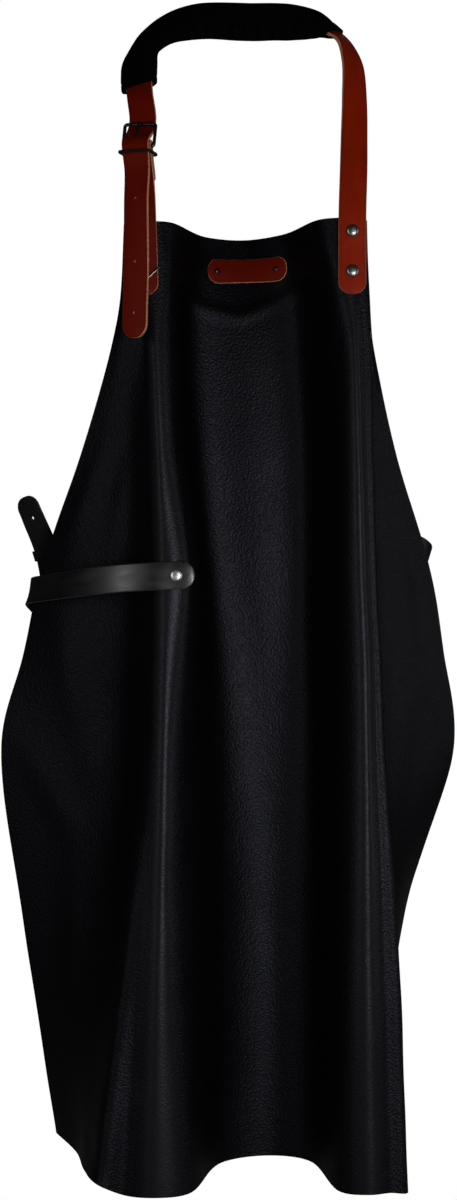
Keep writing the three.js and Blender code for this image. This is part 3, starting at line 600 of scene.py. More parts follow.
# %% Tables of the straps
NECK_RIGHT = [
    Row((91, -91.2, -276), (-1, 0, 0)),
    Row((91, -91.2, -240), (-1, 0, 0)),
    Row((91.2, -91, -200), (-1, 0, 0)),
    Row((92.8, -82, -166), (-1, -0.05, 0)),
    Row((94.6, -65, -131), (-0.97, -0.2, 0)),
    Row((96.4, -46, -88), (-0.9, -0.4, 0)),
    Row((96, -27, -48), (-0.75, -0.65, -0.1)),
    Row((90, -13, -25), (-0.45, -0.85, -0.25)),
    Row((80, -5, -13), (-0.25, -0.85, -0.45)),
    Row((62, -2, -4), (-0.1, -0.5, -0.86)),
    Row((35, 0, 0), (0, -0.1, -1)),
    Row((0, 0, 0), (0, 0, -1)),
]
NECK_LEFT = [
    Row((-45, -1, 0.5), (0.05, -0.15, -1)),
    Row((-70, -5, -6), (0.25, -0.4, -0.88)),
    Row((-89, -12, -19), (0.55, -0.6, -0.55)),
    Row((-102, -26, -40), (0.75, -0.64, -0.15)),
    Row((-103.5, -46, -62), (0.9, -0.4, 0)),
    Row((-101.5, -66, -90), (0.93, -0.34, 0)),
]
NECK_TAIL = [
    Row((-102.5, -95, -166), (0.9, -0.43, 0)),
    Row((-103, -101, -195), (0.87, -0.5, 0)),
    Row((-102.8, -104, -250), (0.89, -0.46, 0)),
    Row((-103.8, -104, -296), (0.89, -0.46, 0)),
    Row((-104.3, -104, -318), (0.89, -0.46, 0)),
]
SHORT_STRAP = [
    Row((-96, -90.7, -277), (-1, 0, 0)),
    Row((-97, -90.7, -240), (-1, 0, 0)),
    Row((-98.2, -90.7, -207), (-1, 0, 0)),
    Row((-99.5, -87, -172), (-0.95, 0.3, 0)),
]
WAIST_FRONT = [
    Row((-51, -97.8, -529), (0, 0, -1)),
    Row((-67, -96.4, -530), (0, 0, -1)),
    Row((-91, -94.8, -531), (0, 0, -1)),
    Row((-124, -84, -533), (0, 0, -1)),
    Row((-162, -60, -537), (0, 0, -1)),
    Row((-194, -24, -541), (-0.08, 0, -1)),
    Row((-209, -3, -544), (-0.18, 0, -0.98)),
    Row((-205, 7, -550), (-0.42, 0.1, -0.9)),
    Row((-194, 9, -564), (-0.85, 0.1, -0.5)),
]
WAIST_BACK = [
    Row((131, -21.2, -502), (0, -0.08, 1)),
    Row((145, -10.2, -502), (0, -0.1, 1)),
    Row((158, -1.8, -502.5), (0.05, -0.1, 1)),
    Row((170, 14, -510), (0.3, 0, 0.95)),
    Row((170.5, 42, -520), (0.25, 0, 0.97)),
    Row((159, 92, -537), (0.1, 0.1, 1)),
    Row((118, 146, -562), (0, 0, 1)),
    Row((50, 184, -600), (-0.2, 0, 1)),
    Row((-30, 190, -640), (-0.25, 0, 1)),
    Row((-100, 156, -664), (-0.1, 0, 1)),
    Row((-146, 92, -664), (0.2, 0, 0.95)),
    Row((-158, 40, -645), (0.6, 0, 0.7)),
]
WAIST_TAIL = [
    Row((-188, 21.5, -545), (0.9, -0.2, 0.33)),
    Row((-195.5, 15, -506), (0.85, -0.4, 0.33)),
    Row((-208, 11, -474), (0.8, -0.5, 0.33)),
    Row((-217, 10, -453), (0.8, -0.5, 0.33)),
]
print("rows of the neck strap:", len(NECK_RIGHT) + len(NECK_LEFT) + len(NECK_TAIL))

# %% [markdown]
# ## Straps at the buckles
# A buckle has its own frame: across the strap, up the strap and out of its face. One strap loops round the
# heel bar and turns back behind itself. The other comes in behind the far bar and leaves over the heel bar.

# %% Buckle frames and the routes that meet them
BUCKLE = {"width": 32, "height": 25, "wire": 3, "corner": 4}
BUCKLE_SLACK = 1.5
BUCKLE_MIDDLE = 1.5
LOOP_SLACK = 1
HEEL = -(BUCKLE["height"] - BUCKLE["wire"]) / 2
PLY = BUCKLE["wire"] / 2 + GAP + STRAP_THICK / 2
OVER_HEEL = PLY + STRAP_THICK + 4 * GAP + 2 * LOOP_SLACK


def buckle_frame(at, up, across):
    along = Vector(up).normalized()
    side = (Vector(across) - along * Vector(across).dot(along)).normalized()
    turned = Matrix((side, along, side.cross(along))).transposed().to_4x4()
    return Matrix.Translation(at) @ turned


def buckle_rows(place, sign, spots):
    across = tuple(sign * place.col[0].xyz)
    return [Row(tuple(place @ Vector((0, height, out))), across) for height, out in spots]


def through_buckle(place):
    behind = -PLY - BUCKLE_SLACK
    above = -HEEL + 3 * BUCKLE["wire"]
    spots = [(above, behind), (-HEEL, behind), (0, BUCKLE_MIDDLE), (HEEL, OVER_HEEL)]
    return buckle_rows(place, 1, spots)


def holding_buckle(rows, place, back_length):
    radius = PLY + LOOP_SLACK
    turns = np.radians([0, 45, 90, 135, 180])
    loop = buckle_rows(place, -1, [(HEEL + radius * math.sin(a), radius * math.cos(a)) for a in turns])
    main = Route([*rows, loop[0]])
    at, _, across, out = main.frames([1 - part * back_length / main.length for part in (0.45, 0.7, 1)])
    back = [Row(tuple(p), tuple(c)) for p, c in zip(at - out * (STRAP_THICK + 2 * GAP), across)]
    return Route([*rows, *loop, *back])


NECK_BUCKLE = {"at": (-101.2, -81.2, -131), "up": (0.08, 0.2, 0.98), "across": (0.97, -0.22, 0)}
WAIST_BUCKLE = {"at": (-174, 9, -604), "up": (0.45, -0.05, -0.88), "across": (0.88, 0, 0.45)}
NECK_TURNED_BACK = 34
WAIST_TURNED_BACK = 24
neck_place = buckle_frame(**NECK_BUCKLE)
waist_place = buckle_frame(**WAIST_BUCKLE)
neck_route = Route([*NECK_RIGHT, *NECK_LEFT, *through_buckle(neck_place), *NECK_TAIL])
short_route = holding_buckle(SHORT_STRAP, neck_place, NECK_TURNED_BACK)
waist_front_route = holding_buckle(WAIST_FRONT, waist_place, WAIST_TURNED_BACK)
waist_back_route = Route([*WAIST_BACK, *through_buckle(waist_place), *WAIST_TAIL])
print("neck strap length in mm:", round(neck_route.length))

# %% [markdown]
# ## Sweeping a strap
# The section of a strap is a flat bar with softly rounded arrises. It is carried along the route every few
# millimetres and narrows to a round end. The faces of its sides get the colour of the cut edge, and the face
# that looks inwards the rougher flesh side.

# %% Straps
ARRIS = 0.9
RING = [(sx, sz, a) for sx, sz, first in ((1, 1, 0), (-1, 1, 90), (-1, -1, 180), (1, -1, 270))
        for a in (first, first + 30, first + 60, first + 90)]
GRAIN, EDGE, FLESH = 0, 1, 2
FACE_KINDS = [EDGE] * 2 + [GRAIN] * 3 + [EDGE] * 5 + [FLESH] * 4 + [EDGE] * 2
END_FLAT = 0.12


def half_width(distance, width, radius):
    flat = max(width - radius, END_FLAT * width)
    reach = np.clip(distance / radius, 0, 1)
    return flat + (width - flat) * np.sqrt(1 - (1 - reach) ** 2)


def add_uv(piece, name, uvs):
    layer = piece.data.uv_layers.new(name=name)
    for loop in piece.data.loops:
        layer.data[loop.index].uv = uvs[loop.vertex_index]


def strap_piece(name, route, materials, step=2.5, width=STRAP_WIDTH, thick=STRAP_THICK, start=10, end=12):
    fine = np.array([0, 0.03, 0.12, 0.3, 0.55, 0.8])
    even = np.linspace(start, route.length - end, int(route.length / step))
    distance = np.concatenate([fine * start, even, route.length - end * fine[::-1]])
    at, _, across, out = route.frames(distance / route.length)
    from_start = half_width(distance, width / 2, start)
    wide = np.minimum(from_start, half_width(route.length - distance, width / 2, end))
    corners, uvs = [], []
    for i, reach in enumerate(wide):
        for sx, sz, angle in RING:
            sideways = sx * (reach - ARRIS) + ARRIS * math.cos(math.radians(angle))
            outwards = sz * (thick / 2 - ARRIS) + ARRIS * math.sin(math.radians(angle))
            corners.append(at[i] + across[i] * sideways + out[i] * outwards)
            uvs.append((distance[i] * MM, sideways * MM))
    size = len(RING)
    faces = [
        (i * size + j, i * size + (j + 1) % size, (i + 1) * size + (j + 1) % size, (i + 1) * size + j)
        for i in range(len(distance) - 1) for j in range(size)
    ]
    kinds = FACE_KINDS * (len(distance) - 1) + [EDGE, EDGE]
    last = len(corners)
    faces += [tuple(range(size - 1, -1, -1)), tuple(range(last - size, last))]
    piece = new_piece(name, corners, faces, materials, kinds)
    add_uv(piece, "strap", uvs)
    return piece


BROWN = [brown_leather, brown_edge, brown_flesh]
# painted shade: the darker copy of the brown leather
SHADED_BROWN = [shaded_brown_leather, brown_edge, brown_flesh]
BLACK = [black_leather, black_edge, black_flesh]
neck_strap = strap_piece("neck_strap_leather", neck_route, BROWN)
short_strap = strap_piece("buckle_strap_leather", short_route, SHADED_BROWN, step=1.5, end=3)
waist_front = strap_piece("waist_strap_front", waist_front_route, BLACK, step=1.5, start=12, end=3)
waist_back = strap_piece("waist_strap_back", waist_back_route, BLACK)
print("straps:", [p.name for p in (neck_strap, short_strap, waist_front, waist_back)])

# %% [markdown]
# ## Label patch
# A small bare patch of the brown leather lies below the neckline and follows the panel there. Rays from the
# front find the panel, so the patch bends with it.

# %% Label patch
LABEL = {"width": 23.5, "thick": 2, "end": 10.5, "lift": 0.9, "left": (-41.5, -241.5), "right": (36, -239.5)}
panel_tree = BVHTree.FromPolygons(
    [tuple(p) for p in panel_points.reshape(-1, 3)],
    [tuple(p.vertices) for p in panel.data.polygons if p.material_index == 0],
)
RAYS_FROM_Y = -400


def panel_front(x, z):
    hit, normal, _, _ = panel_tree.ray_cast(Vector((x, RAYS_FROM_Y, z)), Vector((0, 1, 0)))
    return hit + normal * PANEL_THICK / 2, normal


def label_route():
    rows = []
    for part in np.linspace(0, 1, 6):
        x, z = (1 - part) * np.array(LABEL["left"]) + part * np.array(LABEL["right"])
        hit, normal = panel_front(x, z)
        at = hit + normal * (LABEL["thick"] / 2 + LABEL["lift"])
        rows.append(Row(tuple(at), tuple(normal.cross(Vector((1, 0, 0))))))
    return Route(rows)


patch_route = label_route()
# The patch takes the darker copy of the brown leather, a painted shade.
patch = strap_piece(
    "bare_label_patch", patch_route, SHADED_BROWN, step=1.5, width=LABEL["width"], thick=LABEL["thick"],
    start=LABEL["end"], end=LABEL["end"],
)
print("label patch length in mm:", round(patch_route.length))

# %% [markdown]
# ## Punched holes
# The tails of the straps are punched. One tree of Geometry Nodes does it for any strap: it puts a tapered
# punch on each marked point, turned along the strap's face, and takes them all away with a Boolean. The wall
# of a hole has the colour of the core, because the punch carries that material.

# %% Geometry Nodes for punched holes
def new_tree(name, sockets):
    tree = bpy.data.node_groups.new(name, "GeometryNodeTree")
    tree.is_modifier = True
    tree.interface.new_socket("Geometry", in_out="OUTPUT", socket_type="NodeSocketGeometry")
    tree.interface.new_socket("Geometry", in_out="INPUT", socket_type="NodeSocketGeometry")
    for socket, kind in sockets.items():
        tree.interface.new_socket(socket, in_out="INPUT", socket_type=kind)
    return tree, add_node(tree, "NodeGroupInput").outputs


def run_tree(piece, tree, values):
    modifier = piece.modifiers.new("made", "NODES")
    modifier.node_group = tree
    for socket in tree.interface.items_tree:
        if socket.in_out == "INPUT" and socket.name in values:
            modifier[socket.identifier] = values[socket.name]
    made = bpy.data.meshes.new_from_object(piece.evaluated_get(bpy.context.evaluated_depsgraph_get()))
    piece.modifiers.remove(modifier)
    piece.data = made
    return piece


def wire_object(name, points, edges):
    mesh = bpy.data.meshes.new(name)
    mesh.from_pydata([tuple(np.array(p, float) * MM) for p in points], edges, [])
    wires = bpy.data.objects.new(name, mesh)
    scene.collection.objects.link(wires)
    return wires


def marked_points(name, places, ways):
    points = wire_object(name, places, [])
    out = points.data.attributes.new("way_out", "FLOAT_VECTOR", "POINT")
    out.data.foreach_set("vector", np.array(ways, float).ravel())
    return points


def finished(tree, shapes, material):
    real = add_node(tree, "GeometryNodeRealizeInstances", {0: shapes})
    values = {"Geometry": real.outputs[0], "Material": material}
    return add_node(tree, "GeometryNodeSetMaterial", values).outputs[0]


punch_tree, given = new_tree(
    "punched_holes",
    {"Marks": "NodeSocketObject", "Front radius": "NodeSocketFloat", "Back radius": "NodeSocketFloat",
     "Depth": "NodeSocketFloat", "Wall": "NodeSocketMaterial"},
)
marks = add_node(punch_tree, "GeometryNodeObjectInfo", {"Object": given["Marks"]})
out = add_node(punch_tree, "GeometryNodeInputNamedAttribute", {"Name": "way_out"}, data_type="FLOAT_VECTOR")
turn = add_node(punch_tree, "FunctionNodeAlignRotationToVector", {"Vector": out.outputs[0]}, axis="Z")
punch = add_node(
    punch_tree, "GeometryNodeMeshCone",
    {"Vertices": 24, "Radius Top": given["Front radius"], "Radius Bottom": given["Back radius"],
     "Depth": given["Depth"]},
)
middle = add_node(punch_tree, "ShaderNodeMath", {0: given["Depth"], 1: -0.5}, operation="MULTIPLY")
down = add_node(punch_tree, "ShaderNodeCombineXYZ", {2: middle.outputs[0]})
centred = add_node(
    punch_tree, "GeometryNodeTransform", {"Geometry": punch.outputs[0], "Translation": down.outputs[0]}
)
placed = add_node(
    punch_tree, "GeometryNodeInstanceOnPoints",
    {"Points": marks.outputs["Geometry"], "Instance": centred.outputs[0], "Rotation": turn.outputs[0]},
)
walls = finished(punch_tree, placed.outputs[0], given["Wall"])
cut = add_node(
    punch_tree, "GeometryNodeMeshBoolean", {0: given["Geometry"], 1: walls}, operation="DIFFERENCE"
)
add_node(punch_tree, "NodeGroupOutput", {"Geometry": cut.outputs[0]})
print("nodes in the punch:", len(punch_tree.nodes))

# %% [markdown]
# ## Punching the tails
# The tail of the neck strap has three holes below its buckle, and the tail of the waist strap has two. A hole
# is given by its height, and the route says where the middle of the strap is there.

# %% Punched tails
Holes = namedtuple("Holes", "heights search_from front_radius back_radius")
NECK_HOLES = Holes([-193, -250, -296], 0.75, 1.5, 0.8)
WAIST_HOLES = Holes([-473, -522], 0.9, 1.9, 1.9)
PUNCH_LENGTH = 4 * STRAP_THICK


def punch_strap(piece, route, holes, wall):
    shares = [route.share_at_height(z, holes.search_from, 1) for z in holes.heights]
    at, _, _, out = route.frames(shares)
    points = marked_points(piece.name + "_marks", at, out)
    values = {"Marks": points, "Front radius": holes.front_radius * MM,
              "Back radius": holes.back_radius * MM, "Depth": PUNCH_LENGTH * MM, "Wall": wall}
    run_tree(piece, punch_tree, values)
    bpy.data.objects.remove(points)
    print(piece.name, "holes:", len(shares), "faces:", len(piece.data.polygons))


punch_strap(neck_strap, neck_route, NECK_HOLES, brown_edge)
punch_strap(waist_back, waist_back_route, WAIST_HOLES, black_edge)

# %% [markdown]
# ## Padded sleeve
# The sleeve is soft foam in knitted cloth, drawn over the strap at the nape. It is fullest in its middle, its
# hems at both ends are sewn down flat, and the cloth puckers a little where the strap bends. The ends turn in
# to the slot that the strap runs through.

# %% Padded sleeve
PAD = {"half_width": 18, "half_thick": 5.6, "squareness": 0.75, "from": 0.36, "to": 0.686, "hem": 9}
SLOT = {"half_width": 13.3, "half_thick": 2.6, "squareness": 0.4}
FULLNESS = {"at_ends": 0.9, "reach": 30, "rise": 0.7, "sideways": 0.35}
HEM = {"drawn_in": 0.09, "half_width": 1.6}
PUCKER = {"size": 16, "turns": 2.2, "height": 0.5}
PAD_SIDES = 56
PAD_STEPS = 120


def soft_round(angles, half_width, half_thick, squareness):
    circle = np.column_stack([np.cos(angles), np.sin(angles)])
    return np.sign(circle) * np.abs(circle) ** squareness * (half_width, half_thick)


def pad_piece(name, route):
    shares = np.linspace(PAD["from"], PAD["to"], PAD_STEPS)
    at, _, across, out = route.frames(shares)
    distance = (shares - PAD["from"]) * route.length
    to_end = np.minimum(distance, distance[-1] - distance)
    angles = np.linspace(0, 2 * np.pi, PAD_SIDES, endpoint=False)
    outer = soft_round(angles, PAD["half_width"], PAD["half_thick"], PAD["squareness"])
    inner = soft_round(angles, SLOT["half_width"], SLOT["half_thick"], SLOT["squareness"])
    rise = np.clip(to_end / FULLNESS["reach"], 0, 1) ** FULLNESS["rise"]
    fullness = FULLNESS["at_ends"] + (1 - FULLNESS["at_ends"]) * rise
    hem = 1 - HEM["drawn_in"] * np.exp(-(((to_end - PAD["hem"]) / HEM["half_width"]) ** 2))
    corners, uvs = [], []
    for ring, grows in ((outer, True), (inner, False)):
        for i in range(PAD_STEPS):
            for (sideways, outwards), angle in zip(ring, angles):
                swell = fullness[i] * hem[i] if grows else 1
                round_pad = PUCKER["turns"] * Vector((0, math.cos(angle), math.sin(angle)))
                pucker = noise.noise(round_pad + Vector((distance[i] / PUCKER["size"], 0, 0)))
                raised = PUCKER["height"] * pucker * math.copysign(1, outwards) if grows else 0
                thick = outwards * swell + raised
                wide = sideways * swell ** FULLNESS["sideways"]
                corners.append(at[i] + across[i] * wide + out[i] * thick)
                uvs.append((distance[i] * MM, angle / math.pi * PAD["half_width"] * MM))
    size = PAD_SIDES
    inside = PAD_STEPS * size
    faces = []
    for i in range(PAD_STEPS - 1):
        for j in range(size):
            a, b = i * size + j, i * size + (j + 1) % size
            faces.append((a, b, b + size, a + size))
            faces.append((a + inside + size, b + inside + size, b + inside, a + inside))
    last = (PAD_STEPS - 1) * size
    for j in range(size):
        k = (j + 1) % size
        faces.append((k, j, j + inside, k + inside))
        faces.append((last + j, last + k, last + k + inside, last + j + inside))
    piece = new_piece(name, corners, faces, [pad_cloth])
    add_uv(piece, "pad", uvs)
    return piece


pad = pad_piece("padded_sleeve", neck_route)
print("pad corners:", len(pad.data.vertices))

# %% [markdown]
# ## Bars, wires and loops
# Buckles, prongs, loops and the staple are all a section carried along a path, so they share one tree: it
# rounds the path's corners, sweeps a rounded bar along it and closes the ends. Buckles and loops are made in
# a frame of their own and then carried to their place on the strap. The staple is drawn in its place.

# %% Geometry Nodes for bars along a path
bar_tree, given = new_tree(
    "bar_along_a_path",
    {"Width": "NodeSocketFloat", "Height": "NodeSocketFloat", "Round": "NodeSocketFloat",
     "Corner": "NodeSocketFloat", "Finish": "NodeSocketMaterial"},
)
path = add_node(bar_tree, "GeometryNodeMeshToCurve", {0: given["Geometry"]})
bent = add_node(
    bar_tree, "GeometryNodeFilletCurve",
    {"Curve": path.outputs[0], "Count": 8, "Radius": given["Corner"], "Limit Radius": True}, mode="POLY",
)
section = add_node(
    bar_tree, "GeometryNodeCurvePrimitiveQuadrilateral", {"Width": given["Width"], "Height": given["Height"]}
)
soft = add_node(
    bar_tree, "GeometryNodeFilletCurve",
    {"Curve": section.outputs[0], "Count": 5, "Radius": given["Round"], "Limit Radius": True}, mode="POLY",
)
swept = add_node(
    bar_tree, "GeometryNodeCurveToMesh",
    {"Curve": bent.outputs[0], "Profile Curve": soft.outputs[0], "Fill Caps": True},
)
smooth = add_node(
    bar_tree, "GeometryNodeSetShadeSmooth", {"Geometry": swept.outputs[0], "Shade Smooth": True}
)
bars = finished(bar_tree, smooth.outputs[0], given["Finish"])
add_node(bar_tree, "NodeGroupOutput", {"Geometry": bars})


def bar_piece(name, points, closed, width, height, round_by, corner, finish, place=Matrix()):
    edges = [(i, i + 1) for i in range(len(points) - 1)]
    if closed:
        edges.append((len(points) - 1, 0))
    piece = wire_object(name, points, edges)
    values = {"Width": width * MM, "Height": height * MM, "Round": round_by * MM, "Corner": corner * MM,
              "Finish": finish}
    run_tree(piece, bar_tree, values)
    metres = Matrix.Translation(place.translation * MM) @ place.to_3x3().to_4x4()
    piece.data.transform(metres)
    print(name, "size in mm:", [round(v * 1000, 1) for v in piece.dimensions])
    return piece


print("inputs of the tree:", [socket.name for socket in given if socket.name])

# %% [markdown]
# ## Buckles
# A buckle is a ring of wire with a prong hooked round its heel bar. Both buckles are the same size.

# %% Buckles
WIRE_ROUND = 1.2
PRONG_RADIUS = 1.2
PRONG_RISE = 0.6
PRONG_PAST_BAR = 0.4


def rectangle(width, height):
    return [(-width / 2, -height / 2, 0), (width / 2, -height / 2, 0), (width / 2, height / 2, 0),
            (-width / 2, height / 2, 0)]


def prong_path():
    reach = BUCKLE["wire"] / 2 + GAP + PRONG_RADIUS
    turns = np.radians([200, 240, 290, 340, 390])
    hook = [(0, HEEL + reach * math.sin(a), reach * math.cos(a)) for a in turns]
    end = -HEEL + PRONG_PAST_BAR * BUCKLE["wire"]
    tip = [(0, 0, reach + PRONG_RISE), (0, -HEEL, reach), (0, end, reach)]
    return spline([*hook, *tip], np.linspace(0, 1, 40))


def buckle_pieces(prefix, place):
    wire = BUCKLE["wire"]
    ring = rectangle(BUCKLE["width"] - wire, BUCKLE["height"] - wire)
    corner = BUCKLE["corner"] - wire / 2
    thick = 2 * PRONG_RADIUS
    return [
        bar_piece(prefix + "_ring", ring, True, wire, wire, WIRE_ROUND, corner, dark_nickel, place),
        bar_piece(prefix + "_tongue", prong_path(), False, thick, thick, PRONG_RADIUS, 0, dark_nickel, place),
    ]


neck_ring, neck_tongue = buckle_pieces("neck_buckle", neck_place)
waist_ring, waist_tongue = buckle_pieces("waist_buckle", waist_place)

# %% [markdown]
# ## Loops and staple
# The two leather loops are flat bands in a rectangle round the strap, and the upper one hangs a little askew.
# The staple is a wire bent over the short strap.

# %% Loops and staple
Loop = namedtuple("Loop", "z out tilt width height band depth corner")
UPPER_LOOP = Loop(-148.5, -0.4, -0.12, 28.6, 26.4, 1.6, 2.6, 3)
WAIST_LOOP = Loop(-507, 0, 0, 27.4, 6.2, 1.4, 10, 1.6)
LOOP_ROUND = 0.5


def loop_piece(name, loop, route, start, end):
    share = route.share_at_height(loop.z, start, end)
    at, along, across, out = (Vector(v[0]) for v in route.frames([share]))
    turned = Matrix((across, out, along)).transposed().to_4x4()
    place = Matrix.Translation(at + out * loop.out) @ turned @ Matrix.Rotation(loop.tilt, 4, "Y")
    path = rectangle(loop.width, loop.height)
    return bar_piece(name, path, True, loop.band, loop.depth, LOOP_ROUND, loop.corner, black_loop, place)


upper_loop = loop_piece("upper_loop", UPPER_LOOP, short_route, 0, 0.7)
waist_loop = loop_piece("waist_loop", WAIST_LOOP, waist_back_route, 0.85, 1)

STAPLE = {"z": -266, "radius": 1, "leg": 5, "tilt": -0.9}


def staple_path():
    share = short_route.share_at_height(STAPLE["z"], 0, 0.4)
    at, along, across, out = (v[0] for v in short_route.frames([share]))
    radius = STAPLE["radius"]
    side = STRAP_WIDTH / 2 + GAP + radius
    front = STRAP_THICK / 2 + GAP + radius
    foot = front - STAPLE["leg"]
    spots = [(-side, foot), (-side, front - radius), (radius - side, front), (side - radius, front),
             (side, front - radius), (side, foot)]
    slope = along * STAPLE["tilt"]
    return spline([at + (across + slope) * s + out * o for s, o in spots], np.linspace(0, 1, 60))


thick = 2 * STAPLE["radius"]
staple = bar_piece("wire_staple", staple_path(), False, thick, thick, STAPLE["radius"], 0, rivet_nickel)

# %% [markdown]
# ## Rivets
# A rivet is a turned cap pressed over a post. One cap is turned on a lathe, and a tree sets a copy on each
# marked point, turned out of the leather and sized by the mark, so the neck strap, the patch and the waist
# strap all use it.

# %% Geometry Nodes for rivets
def turned_cap(name, profile, sides=36):
    corners = [(r * math.cos(a), r * math.sin(a), h) for r, h in profile[1:-1]
               for a in np.linspace(0, 2 * np.pi, sides, endpoint=False)]
    corners += [(0, 0, profile[0][1]), (0, 0, profile[-1][1])]
    faces = []
    for i in range(len(profile) - 3):
        for j in range(sides):
            k = (j + 1) % sides
            faces.append((i * sides + j, i * sides + k, (i + 1) * sides + k, (i + 1) * sides + j))
    top = (len(profile) - 3) * sides
    for j in range(sides):
        k = (j + 1) % sides
        faces.append((k, j, len(corners) - 2))
        faces.append((top + j, top + k, len(corners) - 1))
    return new_piece(name, corners, faces, [])


CAP_PROFILE = [(0, -0.15), (0.9, -0.15), (1, -0.06), (1, 0.06), (0.96, 0.14), (0.84, 0.25), (0.66, 0.33),
               (0.42, 0.385), (0.2, 0.4), (0, 0.405)]
cap = turned_cap("rivet_cap", CAP_PROFILE)

rivet_tree, given = new_tree("rivets_on_points", {"Cap": "NodeSocketObject", "Finish": "NodeSocketMaterial"})
shape = add_node(rivet_tree, "GeometryNodeObjectInfo", {"Object": given["Cap"], "As Instance": True})
out = add_node(rivet_tree, "GeometryNodeInputNamedAttribute", {"Name": "way_out"}, data_type="FLOAT_VECTOR")
size = add_node(rivet_tree, "GeometryNodeInputNamedAttribute", {"Name": "radius"}, data_type="FLOAT")
turn = add_node(rivet_tree, "FunctionNodeAlignRotationToVector", {"Vector": out.outputs[0]}, axis="Z")
placed = add_node(
    rivet_tree, "GeometryNodeInstanceOnPoints",
    {"Points": given["Geometry"], "Instance": shape.outputs["Geometry"], "Rotation": turn.outputs[0],
     "Scale": size.outputs[0]},
)
rivets = finished(rivet_tree, placed.outputs[0], given["Finish"])
add_node(rivet_tree, "NodeGroupOutput", {"Geometry": rivets})
print("corners of the cap:", len(cap.data.vertices))

# %% [markdown]
# ## Setting the rivets
# A rivet goes through a strap or the patch, and through the panel. Its seats are the outer face, where the
# cap sits, and the back of the panel, where a second cap closes it. The grip is the leather between the two.

# %% Rivets on the straps and the patch
Rivet = namedtuple("Rivet", "radius back_radius grip")
STRAP_RIVET = Rivet(5.6, 4.6, 7.2)
WAIST_RIVET = Rivet(5.6, 4.6, 13)
LABEL_RIVET = Rivet(2.4, 2.6, 5.2)
RIGHT_RIVETS_Z = (-220, -256)
LEFT_RIVETS_Z = (-220, -246)
LABEL_RIVET_SHARES = [0.12, 0.86]
WAIST_RIVET_SHARE = 0.055
CAP_FOOT = -CAP_PROFILE[0][1]


def rivet_seats(route, shares, thick, rivet):
    at, _, _, out = route.frames(shares)
    front = at + out * (thick / 2 + GAP + CAP_FOOT * rivet.radius)
    behind = at + out * (thick / 2 - rivet.grip - GAP - CAP_FOOT * rivet.back_radius)
    radii = np.repeat([rivet.radius, rivet.back_radius], len(shares))
    return np.concatenate([front, behind]), np.concatenate([out, -out]), radii


def rivet_piece(name, seats, finish):
    places, ways, radii = seats
    piece = marked_points(name, places, ways)
    piece.data.attributes.new("radius", "FLOAT", "POINT").data.foreach_set("value", radii)
    run_tree(piece, rivet_tree, {"Cap": cap, "Finish": finish})
    print(name, "rivets:", len(places) // 2)
    return piece


right_shares = [neck_route.share_at_height(z, 0, 0.15) for z in RIGHT_RIVETS_Z]
left_shares = [short_route.share_at_height(z, 0, 0.4) for z in LEFT_RIVETS_Z]
right_seats = rivet_seats(neck_route, right_shares, STRAP_THICK, STRAP_RIVET)
right_rivets = rivet_piece("right_strap_rivets", right_seats, rivet_nickel)
left_seats = rivet_seats(short_route, left_shares, STRAP_THICK, STRAP_RIVET)
left_rivets = rivet_piece("left_strap_rivets", left_seats, rivet_nickel)
label_seats = rivet_seats(patch_route, LABEL_RIVET_SHARES, LABEL["thick"], LABEL_RIVET)
label_rivets = rivet_piece("label_rivets", label_seats, dark_nickel)
waist_seats = rivet_seats(waist_front_route, [WAIST_RIVET_SHARE], STRAP_THICK, WAIST_RIVET)
waist_left_rivet = rivet_piece("waist_left_rivet", waist_seats, bright_steel)
bpy.data.objects.remove(cap)

# %% [markdown]
# ## Stitches
# The end of the right waist strap is sewn inside the flap with a box of black thread, which shows on the
# inside and on the face. A tree walks along the box at the pitch of the stitches and lays a short bead of
# thread at each step. The thread is polyester, twisted and waxed: black, with a dull shine along each stitch.

# %% Geometry Nodes for stitches
thread, tree = new_material("waxed_black_thread")
twist = uneven(tree, object_place(tree), 0.6, 3.0)
tone = mix_tones(tree, twist, linear("#060607"), linear("#121213"))
add_skin(tree, {"Base Color": tone, "Roughness": 0.45, "Specular IOR Level": 0.4})

stitch_tree, given = new_tree(
    "stitches_along_a_path",
    {"Pitch": "NodeSocketFloat", "Stitch": "NodeSocketVector", "Thread": "NodeSocketMaterial"},
)
path = add_node(stitch_tree, "GeometryNodeMeshToCurve", {0: given["Geometry"]})
steps = add_node(
    stitch_tree, "GeometryNodeResampleCurve", {"Curve": path.outputs[0], "Length": given["Pitch"]},
    mode="LENGTH",
)
way = add_node(stitch_tree, "GeometryNodeInputTangent")
turn = add_node(stitch_tree, "FunctionNodeAlignRotationToVector", {"Vector": way.outputs[0]}, axis="Z")
bead = add_node(stitch_tree, "GeometryNodeMeshUVSphere", {"Segments": 8, "Rings": 6, "Radius": 1.0})
laid = add_node(
    stitch_tree, "GeometryNodeInstanceOnPoints",
    {"Points": steps.outputs[0], "Instance": bead.outputs[0], "Rotation": turn.outputs[0],
     "Scale": given["Stitch"]},
)
sewn = finished(stitch_tree, laid.outputs[0], given["Thread"])
add_node(stitch_tree, "NodeGroupOutput", {"Geometry": sewn})
print("nodes in the stitches:", len(stitch_tree.nodes))

# %% [markdown]
# ## Sewing the end
# The box is drawn on the strap's inner face first. The nearest points of the panel's face give the same box
# on the outside, where the thread comes through.

# %% Sewn end
THREAD_RADIUS = 0.4
STITCH_LENGTH = 2.6
STITCH_PITCH = 3.4
SEWN_BOX = {"first": 4, "last": 27, "reach": 9}


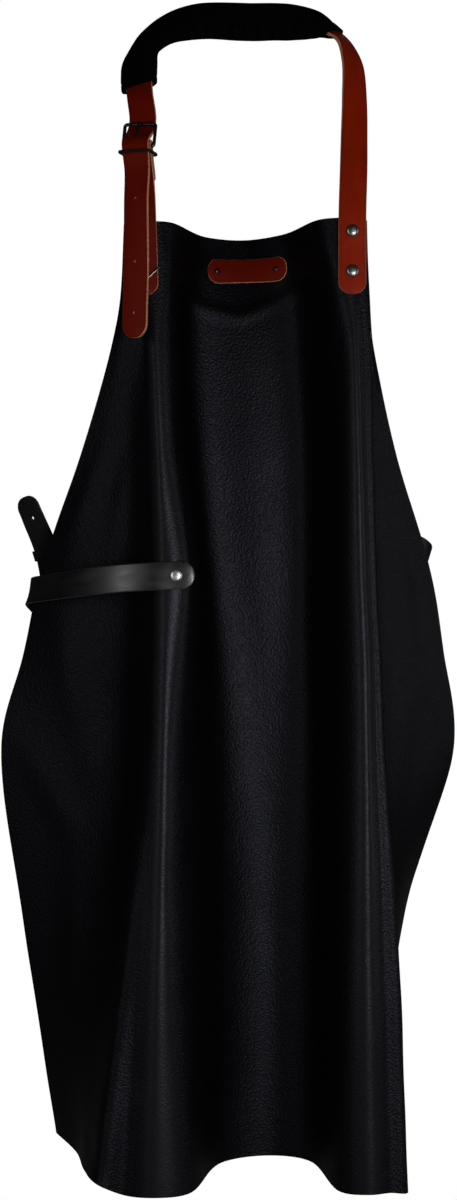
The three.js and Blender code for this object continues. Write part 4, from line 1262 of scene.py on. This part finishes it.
def sewn_box(route):
    lengthwise = np.linspace(SEWN_BOX["first"], SEWN_BOX["last"], 8)
    distance = np.concatenate([lengthwise, lengthwise[::-1]])
    sideways = np.repeat([SEWN_BOX["reach"], -SEWN_BOX["reach"]], 8)[:, None]
    at, _, across, out = route.frames(distance / route.length)
    inside = at + across * sideways - out * (STRAP_THICK / 2)
    face = []
    for point in inside:
        hit, normal, _, _ = panel_tree.find_nearest(Vector(point))
        face.append(hit + normal * PANEL_THICK / 2)
    return inside, np.array(face)


def stitched_piece(name, boxes):
    size = len(boxes[0])
    edges = [(k * size + i, k * size + (i + 1) % size) for k in range(len(boxes)) for i in range(size)]
    piece = wire_object(name, np.concatenate(boxes), edges)
    stitch = np.array([THREAD_RADIUS, THREAD_RADIUS, STITCH_LENGTH / 2]) * MM
    run_tree(piece, stitch_tree, {"Pitch": STITCH_PITCH * MM, "Stitch": stitch.tolist(), "Thread": thread})
    print(name, "faces:", len(piece.data.polygons))
    return piece


stitches = stitched_piece("sewn_end_stitches", sewn_box(waist_back_route))

# %% [markdown]
# ## Handing the pieces over
# Each dressed piece stands for its solids, which are hidden, and rides on the part's one body. The table
# also lists a slot of the record for each piece.

# %% Pieces, solids and slots
Dressed = namedtuple("Dressed", "piece slot nodes")
DRESSED = [
    Dressed(panel, "black_leather", ["apron_panel"]),
    Dressed(neck_strap, "brown_leather", ["neck_strap"]),
    Dressed(short_strap, "brown_leather", ["buckle_strap"]),
    Dressed(patch, "brown_leather", ["label_patch"]),
    Dressed(waist_front, "black_strap_leather", ["waist_strap_left"]),
    Dressed(waist_back, "black_strap_leather", ["waist_strap_right"]),
    Dressed(waist_loop, "black_strap_leather", ["waist_keeper"]),
    Dressed(upper_loop, "black_strap_leather", ["keeper_upper"]),
    Dressed(pad, "pad_fabric", ["neck_pad"]),
    Dressed(neck_ring, "gunmetal", ["neck_buckle_frame"]),
    Dressed(neck_tongue, "gunmetal", ["neck_buckle_prong"]),
    Dressed(waist_ring, "gunmetal", ["waist_buckle_frame"]),
    Dressed(waist_tongue, "gunmetal", ["waist_buckle_prong"]),
    Dressed(right_rivets, "gunmetal", ["strap_rivet_right_1", "strap_rivet_right_2"]),
    Dressed(left_rivets, "gunmetal", ["strap_rivet_left_1", "strap_rivet_left_2"]),
    Dressed(label_rivets, "gunmetal", ["label_rivet_left", "label_rivet_right"]),
    Dressed(waist_left_rivet, "steel", ["waist_rivet_left"]),
    Dressed(staple, "steel", ["keeper_lower"]),
    Dressed(stitches, "black_strap_leather", []),
]
for dressed in DRESSED:
    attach(dressed.piece, "root")
    if dressed.nodes:
        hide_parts(*dressed.nodes)
print("pieces:", len(DRESSED))
